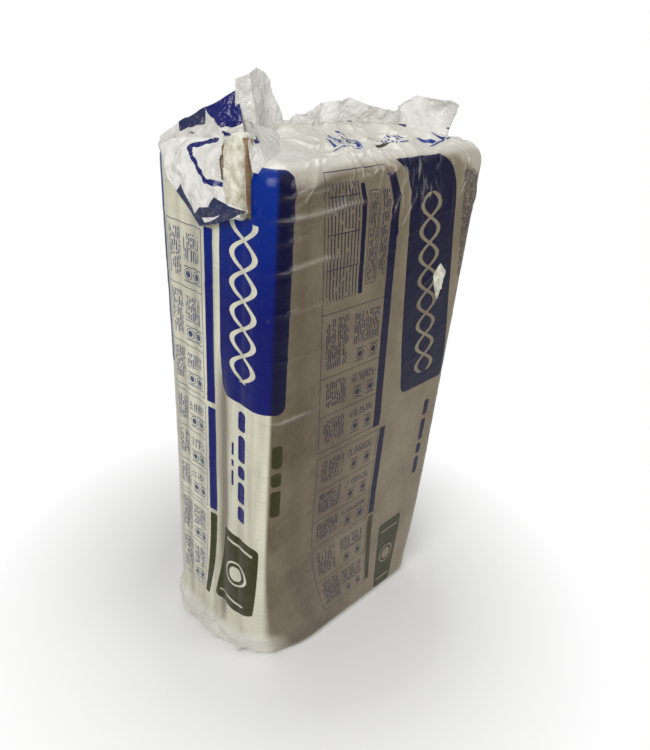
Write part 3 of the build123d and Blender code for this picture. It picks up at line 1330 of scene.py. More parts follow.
@dataclass
class FilmSleeve:
    """The tight film: the bag's form with swells, folds, pleats and the torn openings, in four pieces."""

    columns: tuple[int, ...] = (124, 220, 96, 116)
    names: tuple[str, ...] = ("film_left", "film_front", "film_right", "film_back")
    valleys: tuple[Valley, ...] = (
        Valley(-1, -0.105, 0.0022), Valley(-1, -0.048, 0.0062, 0.015, 0.10, 0.80), Valley(-1, -0.020, 0.0022),
        Valley(-1, 0.030, 0.0028), Valley(-1, 0.078, 0.0024), Valley(-1, 0.115, 0.0012),
        Valley(1, -0.105, 0.0030), Valley(1, -0.052, 0.0040), Valley(1, 0.000, 0.0060, 0.012),
        Valley(1, 0.052, 0.0032), Valley(1, 0.105, 0.0026),
    )
    front_folds: tuple[Fold, ...] = (
        Fold(1.130, 0.02, -0.28, -0.16, 0.0030, 0.0040),
        Fold(1.095, 0.04, -0.29, -0.08, 0.0042, 0.0036),
        Fold(1.059, 0.02, -0.29, -0.20, 0.0022, 0.0034),
        Fold(1.008, 0.06, -0.29, -0.13, 0.0034, 0.0036),
        Fold(0.937, -0.01, -0.28, -0.12, 0.0022, 0.0036),
        Fold(0.843, 0.01, -0.28, -0.14, 0.0018, 0.0040),
        Fold(0.719, 0.03, -0.29, -0.19, 0.0050, 0.0042),
        Fold(0.600, 0.02, -0.29, -0.22, 0.0018, 0.0040),
        Fold(0.470, 0.03, -0.28, 0.02, 0.0010, 0.0050),
        Fold(0.330, -0.02, -0.28, 0.10, 0.0010, 0.0060),
    )
    wrinkles: tuple[Wrinkles, ...] = (
        Wrinkles(11, 90, (-0.33, 0.02), (0.12, 1.06), 0.0, 7.0,
                 (0.02, 0.09), (0.0002, 0.0007), (0.0016, 0.0030)),
        Wrinkles(12, 70, (0.02, 0.58), (0.12, 1.12), 4.0, 14.0,
                 (0.02, 0.10), (0.0003, 0.0011), (0.0020, 0.0040)),
        Wrinkles(13, 46, (0.20, 0.60), (1.06, 1.20), 100.0, 16.0,
                 (0.02, 0.06), (0.0012, 0.0034), (0.0018, 0.0034)),
        Wrinkles(14, 60, (0.02, 0.30), (1.13, 1.24), 20.0, 40.0,
                 (0.015, 0.06), (0.0008, 0.0030), (0.0020, 0.0040)),
        Wrinkles(15, 70, (-0.34, 0.00), (-0.02, 0.10), 20.0, 50.0,
                 (0.012, 0.05), (0.0010, 0.0030), (0.0016, 0.0034)),
        Wrinkles(16, 130, (0.60, 1.46), (0.06, 1.12), 0.0, 16.0,
                 (0.02, 0.10), (0.0003, 0.0011), (0.0020, 0.0040)),
        Wrinkles(17, 60, (0.60, 1.46), (1.08, 1.22), 90.0, 24.0,
                 (0.02, 0.06), (0.0010, 0.0030), (0.0020, 0.0040)),
    )
    tear: Outline = (
        (-0.0436, 1.088), (-0.085, 1.078), (-0.150, 1.056), (-0.200, 1.080), (-0.250, 1.118), (-0.290, 1.160),
        (-0.288, 1.205), (-0.230, 1.228), (-0.120, 1.228), (-0.066, 1.205), (-0.046, 1.168),
    )
    rip: Outline = (
        (0.4436, 0.923), (0.4546, 0.938), (0.4656, 0.947), (0.4836, 0.930), (0.4936, 0.924), (0.4876, 0.900),
        (0.4806, 0.878), (0.4756, 0.858), (0.4576, 0.890),
    )
    grid_step: tuple[float, float] = (0.0027, 0.0036)
    wall_low: float = -0.012
    wall_high: float = 1.150
    rows: tuple[int, int, int] = (22, 322, 54)
    deepest: float = 0.0062
    tallest: float = 0.0045
    bow: float = 0.003
    milk_edge: float = 1.160
    top_crush: tuple[float, float] = (0.013, 0.0025)
    foot_crush: tuple[float, float] = (0.009, 0.0015)
    foot_swell: float = 0.003
    drift_top: float = 1.163
    drift_length: float = 0.49
    column_start: float = 0.016
    column_drift: float = 0.032
    panel_start: float = 0.150
    panel_drift: float = 0.092

    def dips(self, base: Array, out: Array) -> tuple[Array, Array]:
        """Hollows between the batt edges: bells across Y that wander a little and come and go with height.

        Args:
            base: points of the form.
            out: outward directions.

        Returns:
            Depth of the film, and the painted shade that darkens the hollow.
        """
        y, z = base[..., 1], base[..., 2]
        wander = 0.008 * (noise(base, (1.0, 1.0, 0.16), 5) - 0.5)
        depth = np.zeros_like(z)
        painted_dip_shade = np.zeros_like(z)
        for k, valley in enumerate(self.valleys):
            side = np.clip(valley.sign * out[..., 0], 0.0, 1.0) ** 2
            span_z = smooth(valley.low - 0.05, valley.low + 0.05, z)
            span_z = span_z * smooth(valley.high + 0.04, valley.high - 0.06, z)
            dip = bell(y + wander - valley.y, valley.width) * side * span_z
            dip = dip * (0.6 + 0.8 * noise(base, (1.0, 1.0, 0.22), 40 + k))
            depth = depth + valley.depth * dip
            # Painted shade: how much the hollow's colour is darkened, by its depth.
            painted_dip_shade = np.maximum(painted_dip_shade, dip * min(1.0, valley.depth / self.deepest))
        return depth, painted_dip_shade

    def folds(self, base: Array, out: Array) -> tuple[Array, Array]:
        """Raised folds of the front face: sharp ridges about sloping lines, with a hollow below each.

        Args:
            base: points of the form.
            out: outward directions.

        Returns:
            Height of the folds and how far they lift off the kraft.
        """
        x, z = base[..., 0], base[..., 2]
        front = np.clip(-out[..., 1], 0.0, 1.0) ** 2
        height = np.zeros_like(z)
        lift = np.zeros_like(z)
        for k, fold in enumerate(self.front_folds):
            wobble = 0.007 * (noise(base, (0.06, 1.0, 1.0), 60 + k) - 0.5)
            gap = z - fold.z - fold.slope * (x - fold.start) - wobble
            reach = smooth(fold.start - 0.03, fold.start + 0.02, x)
            reach = reach * smooth(fold.end + 0.05, fold.end - 0.05, x)
            ridge = 1.0 / (1.0 + (gap / fold.width) ** 2)
            crest = (ridge - 0.35 * bell(gap + 2.6 * fold.width, 2 * fold.width)) * reach * front
            height = height + fold.rise * crest
            lift = np.maximum(lift, crest * min(1.0, fold.rise / self.tallest))
        return height, lift

    def relief(self, u: Array, v: Array, base: Array, out: Array) -> tuple[Array, Array]:
        """Height of the film over the form, how loose and lifted it is, and the painted shade in its hollows.

        The height adds hollows, folds, seeded wrinkles, a slight bow of the faces and a crush that grows
        over the top and at the foot of the left side.

        Args:
            u: way round.
            v: way up.
            base: points of the form.
            out: outward directions.

        Returns:
            The height, and looseness, painted groove shade and lift together.
        """
        x, y, z = base[..., 0], base[..., 1], base[..., 2]
        face = out[..., 1] ** 2
        left = np.clip(-out[..., 0], 0.0, 1.0)
        middle = smooth(0.03, 0.20, z) * smooth(BAG.height - 0.005, BAG.height - 0.09, z)
        depth, groove_shade = self.dips(base, out)
        height, lift = self.folds(base, out)
        across = np.clip(x / BAG.half_width, -1, 1)
        height = height - depth + self.bow * face * np.cos(across * math.pi / 2) * middle
        straight = sum(folds.height(u, v) for folds in self.wrinkles)
        lift = np.maximum(lift, 0.8 * smooth(0.0012, 0.0040, straight))
        over_top = smooth(BAG.height, BAG.height + 0.030, v)
        calm = 1.0 - 0.75 * bell(np.hypot(x + 0.22, y + 0.13), 0.11)
        foot_left = smooth(0.105, 0.070, z + 0.012 * fractal(base, 0.05, 2, 33)) * smooth(0.25, 0.75, left)
        large, small = self.top_crush
        top_crush = large * crumple(base, 0.085, 24) + small * crumple(base, 0.030, 25)
        large, small = self.foot_crush
        foot_crush = large * crumple(base, 0.055, 26) + small * crumple(base, 0.018, 28) + self.foot_swell
        crush = over_top * calm * top_crush + foot_left * foot_crush
        height = height + straight + crush + 0.0005 * crumple(base, 0.05, 27) * (1 - over_top)
        edge = self.milk_edge - 0.012 * bell(x + 0.225, 0.055) * face - 0.036 * smooth(0.17, 0.26, x) * face
        edge = edge + 0.012 * fractal(base, 0.09, 3, 31)
        loose = np.where(left > 0.5, 0.55, 1.0) * smooth(edge - 0.014, edge + 0.010, z)
        loose = np.maximum(np.maximum(loose, over_top), foot_left)
        loose = np.maximum(loose, 0.5 * smooth(0.035, 0.012, z))
        return height, np.stack([loose, np.clip(groove_shade, 0, 1), np.clip(lift, 0, 1)], -1)

    def snapped(self, u: Array, v: Array) -> tuple[Array, Array, Array]:
        """Moves grid places that lie near a torn outline onto it, so that the tear's edge is clean.

        Args:
            u: way round.
            v: way up.

        Returns:
            The moved u and v, and which faces of the grid lie outside the tears.
        """
        step = np.asarray(self.grid_step)
        place = np.stack([u, v], -1) / step
        centre = (place[:-1, :-1] + place[1:, :-1] + place[:-1, 1:] + place[1:, 1:]) / 4
        keep = np.ones(centre.shape[:2], bool)
        tiny, reach = 0.01, 0.75
        for outline in (self.tear, self.rip):
            corners = [tuple(np.asarray(corner) / step) for corner in outline]
            gap = polygon_distance(place, corners)
            ways = ((tiny, 0.0), (0.0, tiny))
            slope = np.stack([polygon_distance(place + way, corners) - gap for way in ways], -1)
            slope = slope / np.maximum(np.linalg.norm(slope, axis=-1, keepdims=True), 1e-9)
            near = np.abs(gap) < reach
            place = np.where(near[..., None], place - gap[..., None] * slope, place)
            keep &= polygon_distance(centre, corners) > 0.0
        place = place * step
        return place[..., 0], place[..., 1], keep

    def print_way(self, way: Array, v: Array) -> Array:
        """Where the print lies round the bag: the stretched film carries it to the right on its way down.

        Args:
            way: way round from the near edge of its half.
            v: way up.

        Returns:
            The print's own u.
        """
        fall = np.clip((self.drift_top - v) / self.drift_length, 0.0, 1.1)
        way = way + 0.041 * np.clip((v - 1.09) / 0.08, 0.0, 1.0) ** 2 * smooth(0.10, 0.24, way)
        panel_zone = smooth(0.29 + 0.05 * fall, 0.33 + 0.05 * fall, way)
        column_shift = (self.column_drift * fall - self.column_start) * smooth(0.03, 0.10, way)
        panel_shift = self.panel_drift * fall - self.panel_start
        return way - column_shift * (1 - panel_zone) - panel_shift * panel_zone

    def grid(self) -> tuple[Array, Array]:
        """Ways round and up: columns shared out between the pieces, rows closer on the walls and the top.

        Returns:
            The u and v grids, once round from the left back corner.
        """
        ways = BAG.corner_ways
        stretches = [np.linspace(a, b, n, endpoint=False) for a, b, n in zip(ways, ways[1:], self.columns)]
        round_it = np.concatenate([*stretches, ways[-1:]])
        stops = (BAG.low_v, self.wall_low, self.wall_high, BAG.high_v)
        parts = [np.linspace(a, b, n, endpoint=False) for a, b, n in zip(stops, stops[1:], self.rows)]
        up_it = np.concatenate([*parts, stops[-1:]])
        return np.meshgrid(round_it, up_it)

    def surfaces(self) -> list[Surface]:
        """The four pieces, cut from one ring of points at the middles of the upright corners.

        Returns:
            Left, front, right and back, with shared normals where they meet.
        """
        u, v, keep = self.snapped(*self.grid())
        base, out = BAG.place(u, v)
        height, state = self.relief(u, v, base, out)
        points = base + out * height[..., None]
        points[..., 2] = np.maximum(points[..., 2], 0.0)
        points[:, -1] = points[:, 0]
        ring = np.concatenate([points[:, -2:-1], points, points[:, 1:2]], axis=1)
        normals = np.cross(ring[:, 2:] - ring[:, :-2], np.gradient(points, axis=0))
        normals = normals / np.maximum(np.linalg.norm(normals, axis=-1, keepdims=True), 1e-12)
        stops = np.concatenate([[0], np.cumsum(self.columns)])
        half_way = BAG.corner_ways[3]
        made = []
        for k, name in enumerate(self.names):
            cut = slice(stops[k], stops[k + 1] + 1)
            way = u[:, cut] - (half_way if k > 1 else 0.0)
            kraft = (k % 2) * smooth(1.0, 0.6, np.abs(out[:, cut, 2])) * smooth(0.0, 0.009, way)
            place = np.stack([self.print_way(way, v[:, cut]), v[:, cut], kraft], -1)
            values = {"film_place": place, "film_state": state[:, cut]}
            faces = keep[:, stops[k]:stops[k + 1]]
            made.append(Surface(name, points[:, cut], values, keep=faces, normals=normals[:, cut]))
        return made

    def build(self, finishes: Finishes) -> None:
        """Builds the pieces and gives each its film material.

        Args:
            finishes: the materials.
        """
        for surface, side in zip(self.surfaces(), 2 * tuple(Side)):
            piece = surface.build()
            dress(piece, finishes.film[side], ["bag_film"])
            surface.flat_size()


# Loose film at the top

@dataclass
class LooseFilm:
    """Film that stands free at the top: the fin, the ear, the tent and drape beside it, and the turned flap.

    An outline lists places along a sheet with the value there. A line is three-dimensional.
    """

    wall: float = 0.0006
    large_facet: float = 0.080
    small_facet: float = 0.026
    fin_seed: int = 301
    fin_crush: float = 0.018
    fin_start: float = -0.118
    fin_length: float = 0.384
    fin_foot: float = 1.184
    fin_top: Outline = (
        (0.0, 1.203), (0.08, 1.205), (0.22, 1.220), (0.44, 1.240), (0.56, 1.228), (0.70, 1.220),
        (0.78, 1.226), (0.85, 1.243), (0.95, 1.245), (1.0, 1.236),
    )
    fin_path: Outline = ((0.0, 0.0), (0.45, 0.0), (0.75, -0.040), (1.0, -0.096))
    ear_seed: int = 320
    ear_crush: float = 0.007
    ear_foot: float = 1.172
    ear_left: Outline = ((0.0, -0.224), (0.35, -0.224), (1.0, -0.226))
    ear_right: Outline = ((0.0, -0.104), (0.30, -0.110), (1.0, -0.146))
    ear_bend: Outline = ((0.0, -0.002), (0.24, -0.024), (0.62, -0.004), (1.0, 0.004))
    ear_tall: Outline = ((0.0, 0.103), (0.26, 0.112), (0.55, 0.118), (0.80, 0.112), (1.0, 0.100))
    tent_seed: int = 340
    tent_crush: float = 0.007
    tent_front: Line = (
        (-0.290, 0.125, 1.148), (-0.280, 0.085, 1.160), (-0.266, 0.045, 1.168), (-0.250, 0.0, 1.174),
        (-0.217, -0.022, 1.172),
    )
    tent_ridge: Line = (
        (-0.284, 0.138, 1.170), (-0.267, 0.100, 1.200), (-0.250, 0.065, 1.222), (-0.234, 0.030, 1.238),
        (-0.218, 0.003, 1.258),
    )
    tent_back: Line = (
        (-0.268, 0.155, 1.158), (-0.235, 0.135, 1.176), (-0.205, 0.110, 1.186), (-0.185, 0.080, 1.190),
        (-0.190, 0.040, 1.194),
    )
    drape_seed: int = 350
    drape_crush: float = 0.0045
    drape_low: Line = (
        (-0.299, -0.134, 1.160), (-0.274, -0.146, 1.151), (-0.218, -0.124, 1.158), (-0.162, -0.072, 1.166),
        (-0.112, -0.022, 1.170),
    )
    drape_middle: Line = (
        (-0.303, -0.1310, 1.182), (-0.278, -0.130, 1.187), (-0.240, -0.104, 1.191), (-0.194, -0.060, 1.194),
        (-0.152, -0.016, 1.198),
    )
    drape_high: Line = (
        (-0.304, -0.1290, 1.203), (-0.285, -0.117, 1.212), (-0.256, -0.088, 1.214), (-0.230, -0.050, 1.214),
        (-0.208, -0.012, 1.212),
    )
    flap_seed: int = 360
    flap_crush: float = 0.008
    flap_start: float = 0.118
    flap_length: float = 0.248
    flap_top: Outline = (
        (0.0, 1.172), (0.36, 1.184), (0.60, 1.192), (0.67, 1.178), (0.73, 1.136), (0.84, 1.110), (1.0, 1.100),
    )
    flap_low: Outline = (
        (0.0, 1.162), (0.17, 1.117), (0.32, 1.092), (0.54, 1.052), (0.72, 1.066), (1.0, 1.093),
    )
    flap_line: Outline = (
        (-0.028, 1.189), (0.027, 1.172), (-0.005, 1.149), (-0.034, 1.129), (-0.050, 1.129), (-0.068, 1.130),
    )
    flap_patch: Outline = (
        (0.048, 1.098), (0.034, 1.112), (-0.002, 1.070), (-0.018, 1.084), (-0.048, 1.090), (-0.056, 1.108),
        (-0.096, 1.102), (-0.135, 1.100), (-0.060, 1.060), (-0.017, 1.045),
    )
    flap_bare: Outline = ((-0.024, 1.068), (-0.060, 1.077), (-0.082, 1.086), (-0.050, 1.068), (-0.028, 1.061))

    def sheet_grid(self, rows: int, columns: int) -> tuple[Array, Array]:
        """Two grids from 0 to 1: across the sheet and up it."""
        return np.meshgrid(np.linspace(0, 1, columns), np.linspace(0, 1, rows))

    def between(self, p: Array, q: Array, *lines: Line) -> Array:
        """Sheet through three lines, at q 0, half-way and 1, with the points of each at even places along p.

        Args:
            p: way along the lines.
            q: way from the first line to the last.
            lines: the three lines.

        Returns:
            The sheet's points, straight from line to line.
        """
        stops = np.linspace(0.0, 1.0, len(lines[0]))
        grids = [np.stack([along(p, stops, axis) for axis in zip(*line)], -1) for line in lines]
        first, second, third = grids
        rise = (2 * q)[..., None]
        return np.where(rise < 1, first + (second - first) * rise, second + (third - second) * (rise - 1))

    def crushed(self, points: Array, sway: Sequence[float], size: float, seed: int, hold: Array) -> Array:
        """Crushes a sheet: moves its points along a direction by large and small facets, less where held.

        Args:
            points: the flat sheet.
            sway: direction of the crush.
            size: how far it moves.
            seed: picks another crush.
            hold: share of the move at each point.

        Returns:
            The crushed sheet.
        """
        fall = crumple(points, self.large_facet, seed) + 0.28 * crumple(points, self.small_facet, seed + 50)
        side = fractal(points, 0.05, 3, seed + 90)
        moved = points + (size * fall * hold)[..., None] * np.asarray(sway, float)
        return moved + (0.25 * size * side * hold)[..., None] * np.asarray((0.6, 0.5, 0.6))

    def finished(self, name: str, flat: Array, points: Array, seed: int, *inks: Array) -> Surface:
        """Sheet with its ink and its hollows as values.

        Args:
            name: the piece's name.
            flat: the sheet before it was crushed.
            points: the crushed sheet.
            seed: the crush's seed.
            inks: blue, slate and olive masks.

        Returns:
            The sheet.
        """
        hollow = 0.5 - 0.5 * crumple(flat, self.large_facet, seed)
        state = np.stack([hollow, hollow * 0, hollow * 0], -1)
        values = {"film_ink": np.stack(np.broadcast_arrays(*inks), -1), "film_state": state}
        return Surface(name, points, values, thickness=self.wall)

    def fin(self) -> Surface:
        """Fin along the top: stands on a path that bends to the front at its right, under a ragged top.

        Returns:
            The crushed sheet.
        """
        p, q = self.sheet_grid(56, 230)
        x = self.fin_start + self.fin_length * p
        y = along(p, *zip(*self.fin_path))
        top = np.interp(p, *zip(*self.fin_top))
        foot = self.fin_foot - 0.010 * smooth(0.6, 1.0, p)
        lean = 0.024 * q * smooth(0.75, 1.0, p)
        flat = np.stack([x + lean, y + 0.014 * q * np.sin(9.0 * p), foot + q * (top - foot)], -1)
        points = self.crushed(flat, (0.25, 1.0, 0.2), self.fin_crush, self.fin_seed, 0.35 + 0.65 * q)
        blue = smooth(0.64, 0.68, noise(flat, (0.030, 0.030, 0.010), 305))
        blue = blue * smooth(0.34, 0.26, q) * smooth(0.42, 0.47, p)
        return self.finished("film_fin", flat, points, self.fin_seed, blue, 0 * p, 0 * p)

    def ear(self) -> Surface:
        """Tall ear: a sheet folded along an upright crease, narrower at its top than at its foot.

        Returns:
            The crushed sheet.
        """
        p, q = self.sheet_grid(90, 90)
        left = along(q, *zip(*self.ear_left))
        right = along(q, *zip(*self.ear_right))
        bend = np.interp(p, *zip(*self.ear_bend))
        tall = np.interp(p, *zip(*self.ear_tall))
        flat = np.stack([left + (right - left) * p, bend * (1 - 0.35 * q), self.ear_foot + q * tall], -1)
        points = self.crushed(flat, (0.3, 1.0, 0.1), self.ear_crush, self.ear_seed, 0.4 + 0.6 * q)
        return self.finished("film_ear", flat, points, self.ear_seed, 0 * p, 0 * p, 0 * p)

    def tent(self) -> Surface:
        """Tent of film from the back left corner up to the ear, through its front foot, ridge and back foot.

        Returns:
            The crushed sheet.
        """
        p, q = self.sheet_grid(70, 90)
        flat = self.between(p, q, self.tent_front, self.tent_ridge, self.tent_back)
        hold = 0.3 + 0.7 * np.sin(math.pi * p)
        points = self.crushed(flat, (-0.5, -0.4, 0.7), self.tent_crush, self.tent_seed, hold)
        ragged = 0.05 * fractal(flat, 0.016, 3, 345)
        blue = smooth(0.66, 0.68, p + 0.5 * (q - 0.3) + ragged) * smooth(0.20, 0.22, q + ragged)
        slate = smooth(0.22, 0.24, p + ragged) * smooth(0.60, 0.58, p + ragged)
        slate = slate * smooth(0.29, 0.31, q + 0.6 * ragged)
        olive = smooth(0.62, 0.66, noise(flat, 0.010, 347)) * bell(p - 0.48, 0.12) * bell(q - 0.22, 0.06)
        flecks = smooth(0.66, 0.70, noise(flat, 0.013, 348)) * bell(p - 0.80, 0.14) * bell(q - 0.14, 0.05)
        blue = np.maximum(blue, flecks)
        return self.finished("film_tent", flat, points, self.tent_seed, blue, slate, olive)

    def drape(self) -> Surface:
        """Drape from the near corner up to the ear, from the top's edge to beside the sprung wool.

        Returns:
            The crushed sheet.
        """
        p, q = self.sheet_grid(60, 110)
        flat = self.between(p, q, self.drape_low, self.drape_middle, self.drape_high)
        hold = 0.15 + 0.85 * np.sin(math.pi * p)
        points = self.crushed(flat, (-0.3, -0.4, 0.8), self.drape_crush, self.drape_seed, hold)
        blue = smooth(0.58, 0.62, noise(flat, 0.012, 352)) * bell(p - 0.24, 0.12) * smooth(0.62, 0.72, q)
        return self.finished("film_drape", flat, points, self.drape_seed, blue, 0 * p, 0 * p)

    def flap(self) -> Surface:
        """Turned flap: hangs over the left side from the torn edge, with a tongue under the sprung wool.

        Returns:
            The crushed sheet.
        """
        p, q = self.sheet_grid(130, 180)
        y = self.flap_start - self.flap_length * p
        top = along(p, *zip(*self.flap_top))
        low = np.interp(p, *zip(*self.flap_low))
        z = top + (low - top) * q
        lean = 0.004 + 0.010 * np.sin(math.pi * q * 0.62) * smooth(0.0, 0.2, p) + 0.004 * smooth(0.6, 0.9, p)
        lean = lean - 0.022 * smooth(1.158, 1.190, z)
        flat = np.stack([-BAG.half_width - lean, y, z], -1)
        hold = (0.35 + 0.65 * np.sin(math.pi * np.clip(q, 0.08, 0.92))) * smooth(0.0, 0.2, p + 0.06)
        points = self.crushed(flat, (-1.0, 0.1, 0.2), self.flap_crush, self.flap_seed, hold)
        place = np.stack([y, z], -1)
        ragged = 0.0022 * fractal(flat, 0.008, 3, 365)
        line = smooth(0.0042, 0.0034, path_distance(place, self.flap_line) + ragged)
        patch = smooth(0.0008, -0.0008, polygon_distance(place, self.flap_patch))
        patch = patch * smooth(-0.0008, 0.0008, polygon_distance(place, self.flap_bare))
        return self.finished("film_flap", flat, points, self.flap_seed, line, patch, 0 * p)

    def build(self, finishes: Finishes) -> None:
        """Builds the five sheets, gives each the loose film, and measures each one's flat size along the
        sheet.

        Args:
            finishes: the materials.
        """
        for sheet in (self.fin(), self.ear(), self.tent(), self.drape(), self.flap()):
            piece = sheet.build()
            dress(piece, finishes.loose, ["bag_film"])
            sheet.flat_size()


# Batts

@dataclass(frozen=True)
class Lobe:
    """Wool sprung out of the tear: its place in the stack, its size and the seed of its tufts.

    It reaches half_y to each side of y and from foot to head, and stands out of the side by proud.
    """

    name: str
    y: float
    half_y: float
    foot: float
    head: float
    proud: float
    seed: int
    half_x: float = 0.026


@dataclass
class FoldedBatts:
    """Seven batts folded in half, their kraft outside, and the wool that springs out of the torn film."""

    half_width: float = 0.283
    radius: float = 0.0260
    foot: float = 0.0013
    top: float = 1.1657
    inset: float = 0.0090
    wool_skin: float = 0.0012
    kraft_skin: float = 0.0004
    kraft_wall: float = 0.0003
    scrap_wall: float = 0.0005
    tuft_wall: float = 0.0012
    batt_fill: float = 0.9
    lobe_fill: float = 0.7
    tuft_fill: float = 0.4
    lobes: tuple[Lobe, ...] = (
        Lobe("wool_lobe_2", -0.0960, 0.0262, 1.078, 1.211, 0.016, 701),
        Lobe("wool_lobe_3", -0.0400, 0.0235, 1.090, 1.182, -0.003, 721),
    )
    strip_width: float = 0.0112
    strip_y: float = -0.1285
    strip_foot: float = 1.086
    strip_height: float = 0.120
    strip_proud: Outline = ((0.0, 0.001), (0.25, 0.008), (0.8, 0.011), (1.0, 0.007))
    leaf_corner: tuple[float, float, float] = (-0.301, -0.0640, 1.130)
    leaf_width: float = 0.030
    leaf_height: float = 0.056
    rip_middle: tuple[float, float] = (0.4686, 0.9025)
    rip_half: tuple[float, float] = (0.034, 0.058)

    def profile(self, shrink: float, count: int) -> Array:
        """Outline of a folded batt in Y and Z: down one leg, round the fold and up the other.

        Args:
            shrink: how far the outline moves in.
            count: points along it.

        Returns:
            The points from the top of the front leg to the top of the back leg.
        """
        reach = self.radius - shrink
        knee = self.foot + self.radius
        leg = self.top - knee
        bend = math.pi * reach
        s = np.linspace(0.0, 2 * leg + bend, count)
        turn = np.clip((s - leg) / reach, 0.0, math.pi)
        y = -reach * np.cos(turn)
        z = knee - reach * np.sin(turn) + np.maximum(leg - s, 0.0) + np.maximum(s - leg - bend, 0.0)
        return np.stack([y, z], -1)

    def wool(self, number: int) -> Surface:
        """Wool of one batt: the folded outline and its way back inside, carried across with soft ends.

        Args:
            number: place in the stack, 1 in front.

        Returns:
            The wool as a closed grid.
        """
        outer, inner = self.wool_skin, self.radius - self.wool_skin
        ring = np.concatenate([self.profile(outer, 110), self.profile(inner, 110)[::-1]])
        across = np.linspace(-1.0, 1.0, 34)
        ends = np.sqrt(np.clip(1 - np.abs(across) ** 24, 0.0, 1.0))
        x, y = np.meshgrid(across * self.half_width, ring[:, 0], indexing="ij")
        z = np.broadcast_to(ring[:, 1], x.shape)
        y = y * (0.9 + 0.1 * ends[:, None]) + (number - MIDDLE_BATT) * BATT_PITCH
        points = np.stack([x, y, z], -1)
        rough = 0.0012 * fractal(points, 0.02, 3, 500 + number)
        points = points + rough[..., None] * np.asarray((1.0, 0.3, 1.0))
        return Surface(f"wool_batt_{number}", BAG.hold_inside(points, self.inset), closed=True)

    def kraft(self, number: int) -> Surface:
        """Kraft of one batt: the folded outline carried across the bag.

        Args:
            number: place in the stack, 1 in front.

        Returns:
            The sheet as a grid.
        """
        line = self.profile(self.kraft_skin, 120)
        x, y = np.meshgrid(np.linspace(-1.0, 1.0, 28) * self.half_width, line[:, 0], indexing="ij")
        y = y + (number - MIDDLE_BATT) * BATT_PITCH
        points = np.stack([x, y, np.broadcast_to(line[:, 1], x.shape)], -1)
        inset = self.inset - (self.wool_skin - self.kraft_skin)
        return Surface(f"kraft_batt_{number}", BAG.hold_inside(points, inset), thickness=self.kraft_wall)

    def sprung(self, lobe: Lobe) -> Surface:
        """Wool sprung out of the tear: a loaf whose plan is a rounded square and whose top is a dome.

        A point is the plan's rounded square at its angle, scaled by a dome over the height, then moved
        out by tufts of noise.

        Args:
            lobe: its place and size.

        Returns:
            The loaf as a closed grid.
        """
        turn, up = np.meshgrid(np.linspace(0.0, 2 * math.pi, 150, endpoint=False), np.linspace(0.0, 1.0, 120))
        dome = np.clip(1.0 - np.clip((up - 0.72) / 0.28, 0.0, 1.0) ** 2.4, 0.0, 1.0) ** 0.5
        dome = dome * (0.80 + 0.20 * smooth(0.0, 0.40, up)) * np.clip(up / 0.05, 0.02, 1.0) ** 0.5
        cos, sin = np.cos(turn), np.sin(turn)
        square = (np.abs(cos) ** 2.8 + np.abs(sin) ** 2.8) ** (-1 / 2.8)
        x = -BAG.half_width - lobe.proud + lobe.half_x + lobe.half_x * square * cos * dome
        y = lobe.y + lobe.half_y * square * sin * dome
        points = np.stack([x, y, lobe.foot + (lobe.head - lobe.foot) * up], -1)
        out = np.stack([cos, sin, 0.5 * smooth(0.7, 1.0, up)], -1)
        tuft = 0.0050 * fractal(points, 0.034, 4, lobe.seed)
        tuft = tuft + 0.0014 * fractal(points, 0.006, 2, lobe.seed + 5)
        return Surface(lobe.name, points + out * (tuft * dome)[..., None], closed=True)

    def torn_kraft(self) -> Surface:
        """Kraft edge beside the sprung wool: a narrow upright strip that sinks in below and curls at its tip.

        Returns:
            The strip as a grid.
        """
        p, q = np.meshgrid(np.linspace(0, 1, 24), np.linspace(0, 1, 90))
        x = -BAG.half_width - along(q, *zip(*self.strip_proud)) + self.strip_width * p
        y = self.strip_y + 0.002 * np.sin(3.0 * q) + 0.012 * smooth(0.84, 1.0, q) * (1 - p)
        points = np.stack([x, y, self.strip_foot + self.strip_height * q], -1)
        points[..., 1] += 0.0012 * fractal(points, 0.03, 3, 611)
        return Surface("kraft_torn_edge", points, thickness=self.scrap_wall)

    def inner_kraft(self) -> Surface:
        """Kraft between the two sprung batts: a small upright leaf with a slanting upper edge.

        Returns:
            The leaf as a grid.
        """
        p, q = np.meshgrid(np.linspace(0, 1, 30), np.linspace(0, 1, 40))
        x, y, z = self.leaf_corner
        tall = self.leaf_height + 0.008 * p
        points = np.stack([x + self.leaf_width * p, y + 0.003 * q, z + q * tall], -1)
        points[..., 1] += 0.0012 * fractal(points, 0.02, 3, 613)
        return Surface("kraft_inner_edge", points, thickness=self.scrap_wall)

    def rip_tuft(self) -> Surface:
        """Wool in the rip of the front face: a patch of the bag's form, sunk at its rim, out in its middle.

        Returns:
            The patch as a grid.
        """
        p, q = np.meshgrid(np.linspace(-1, 1, 70), np.linspace(-1, 1, 110))
        u, v = (middle + half * way for middle, half, way in zip(self.rip_middle, self.rip_half, (p, q)))
        base, out = BAG.place(u, v)
        dome = np.clip(1 - p ** 2, 0, 1) * np.clip(1 - q ** 2, 0, 1)
        tuft = 0.0020 * fractal(base, 0.010, 4, 641)
        rise = -0.0045 + 0.0062 * np.sqrt(dome) + tuft * dome
        return Surface("wool_rip_tuft", base + out * rise[..., None], thickness=self.tuft_wall)

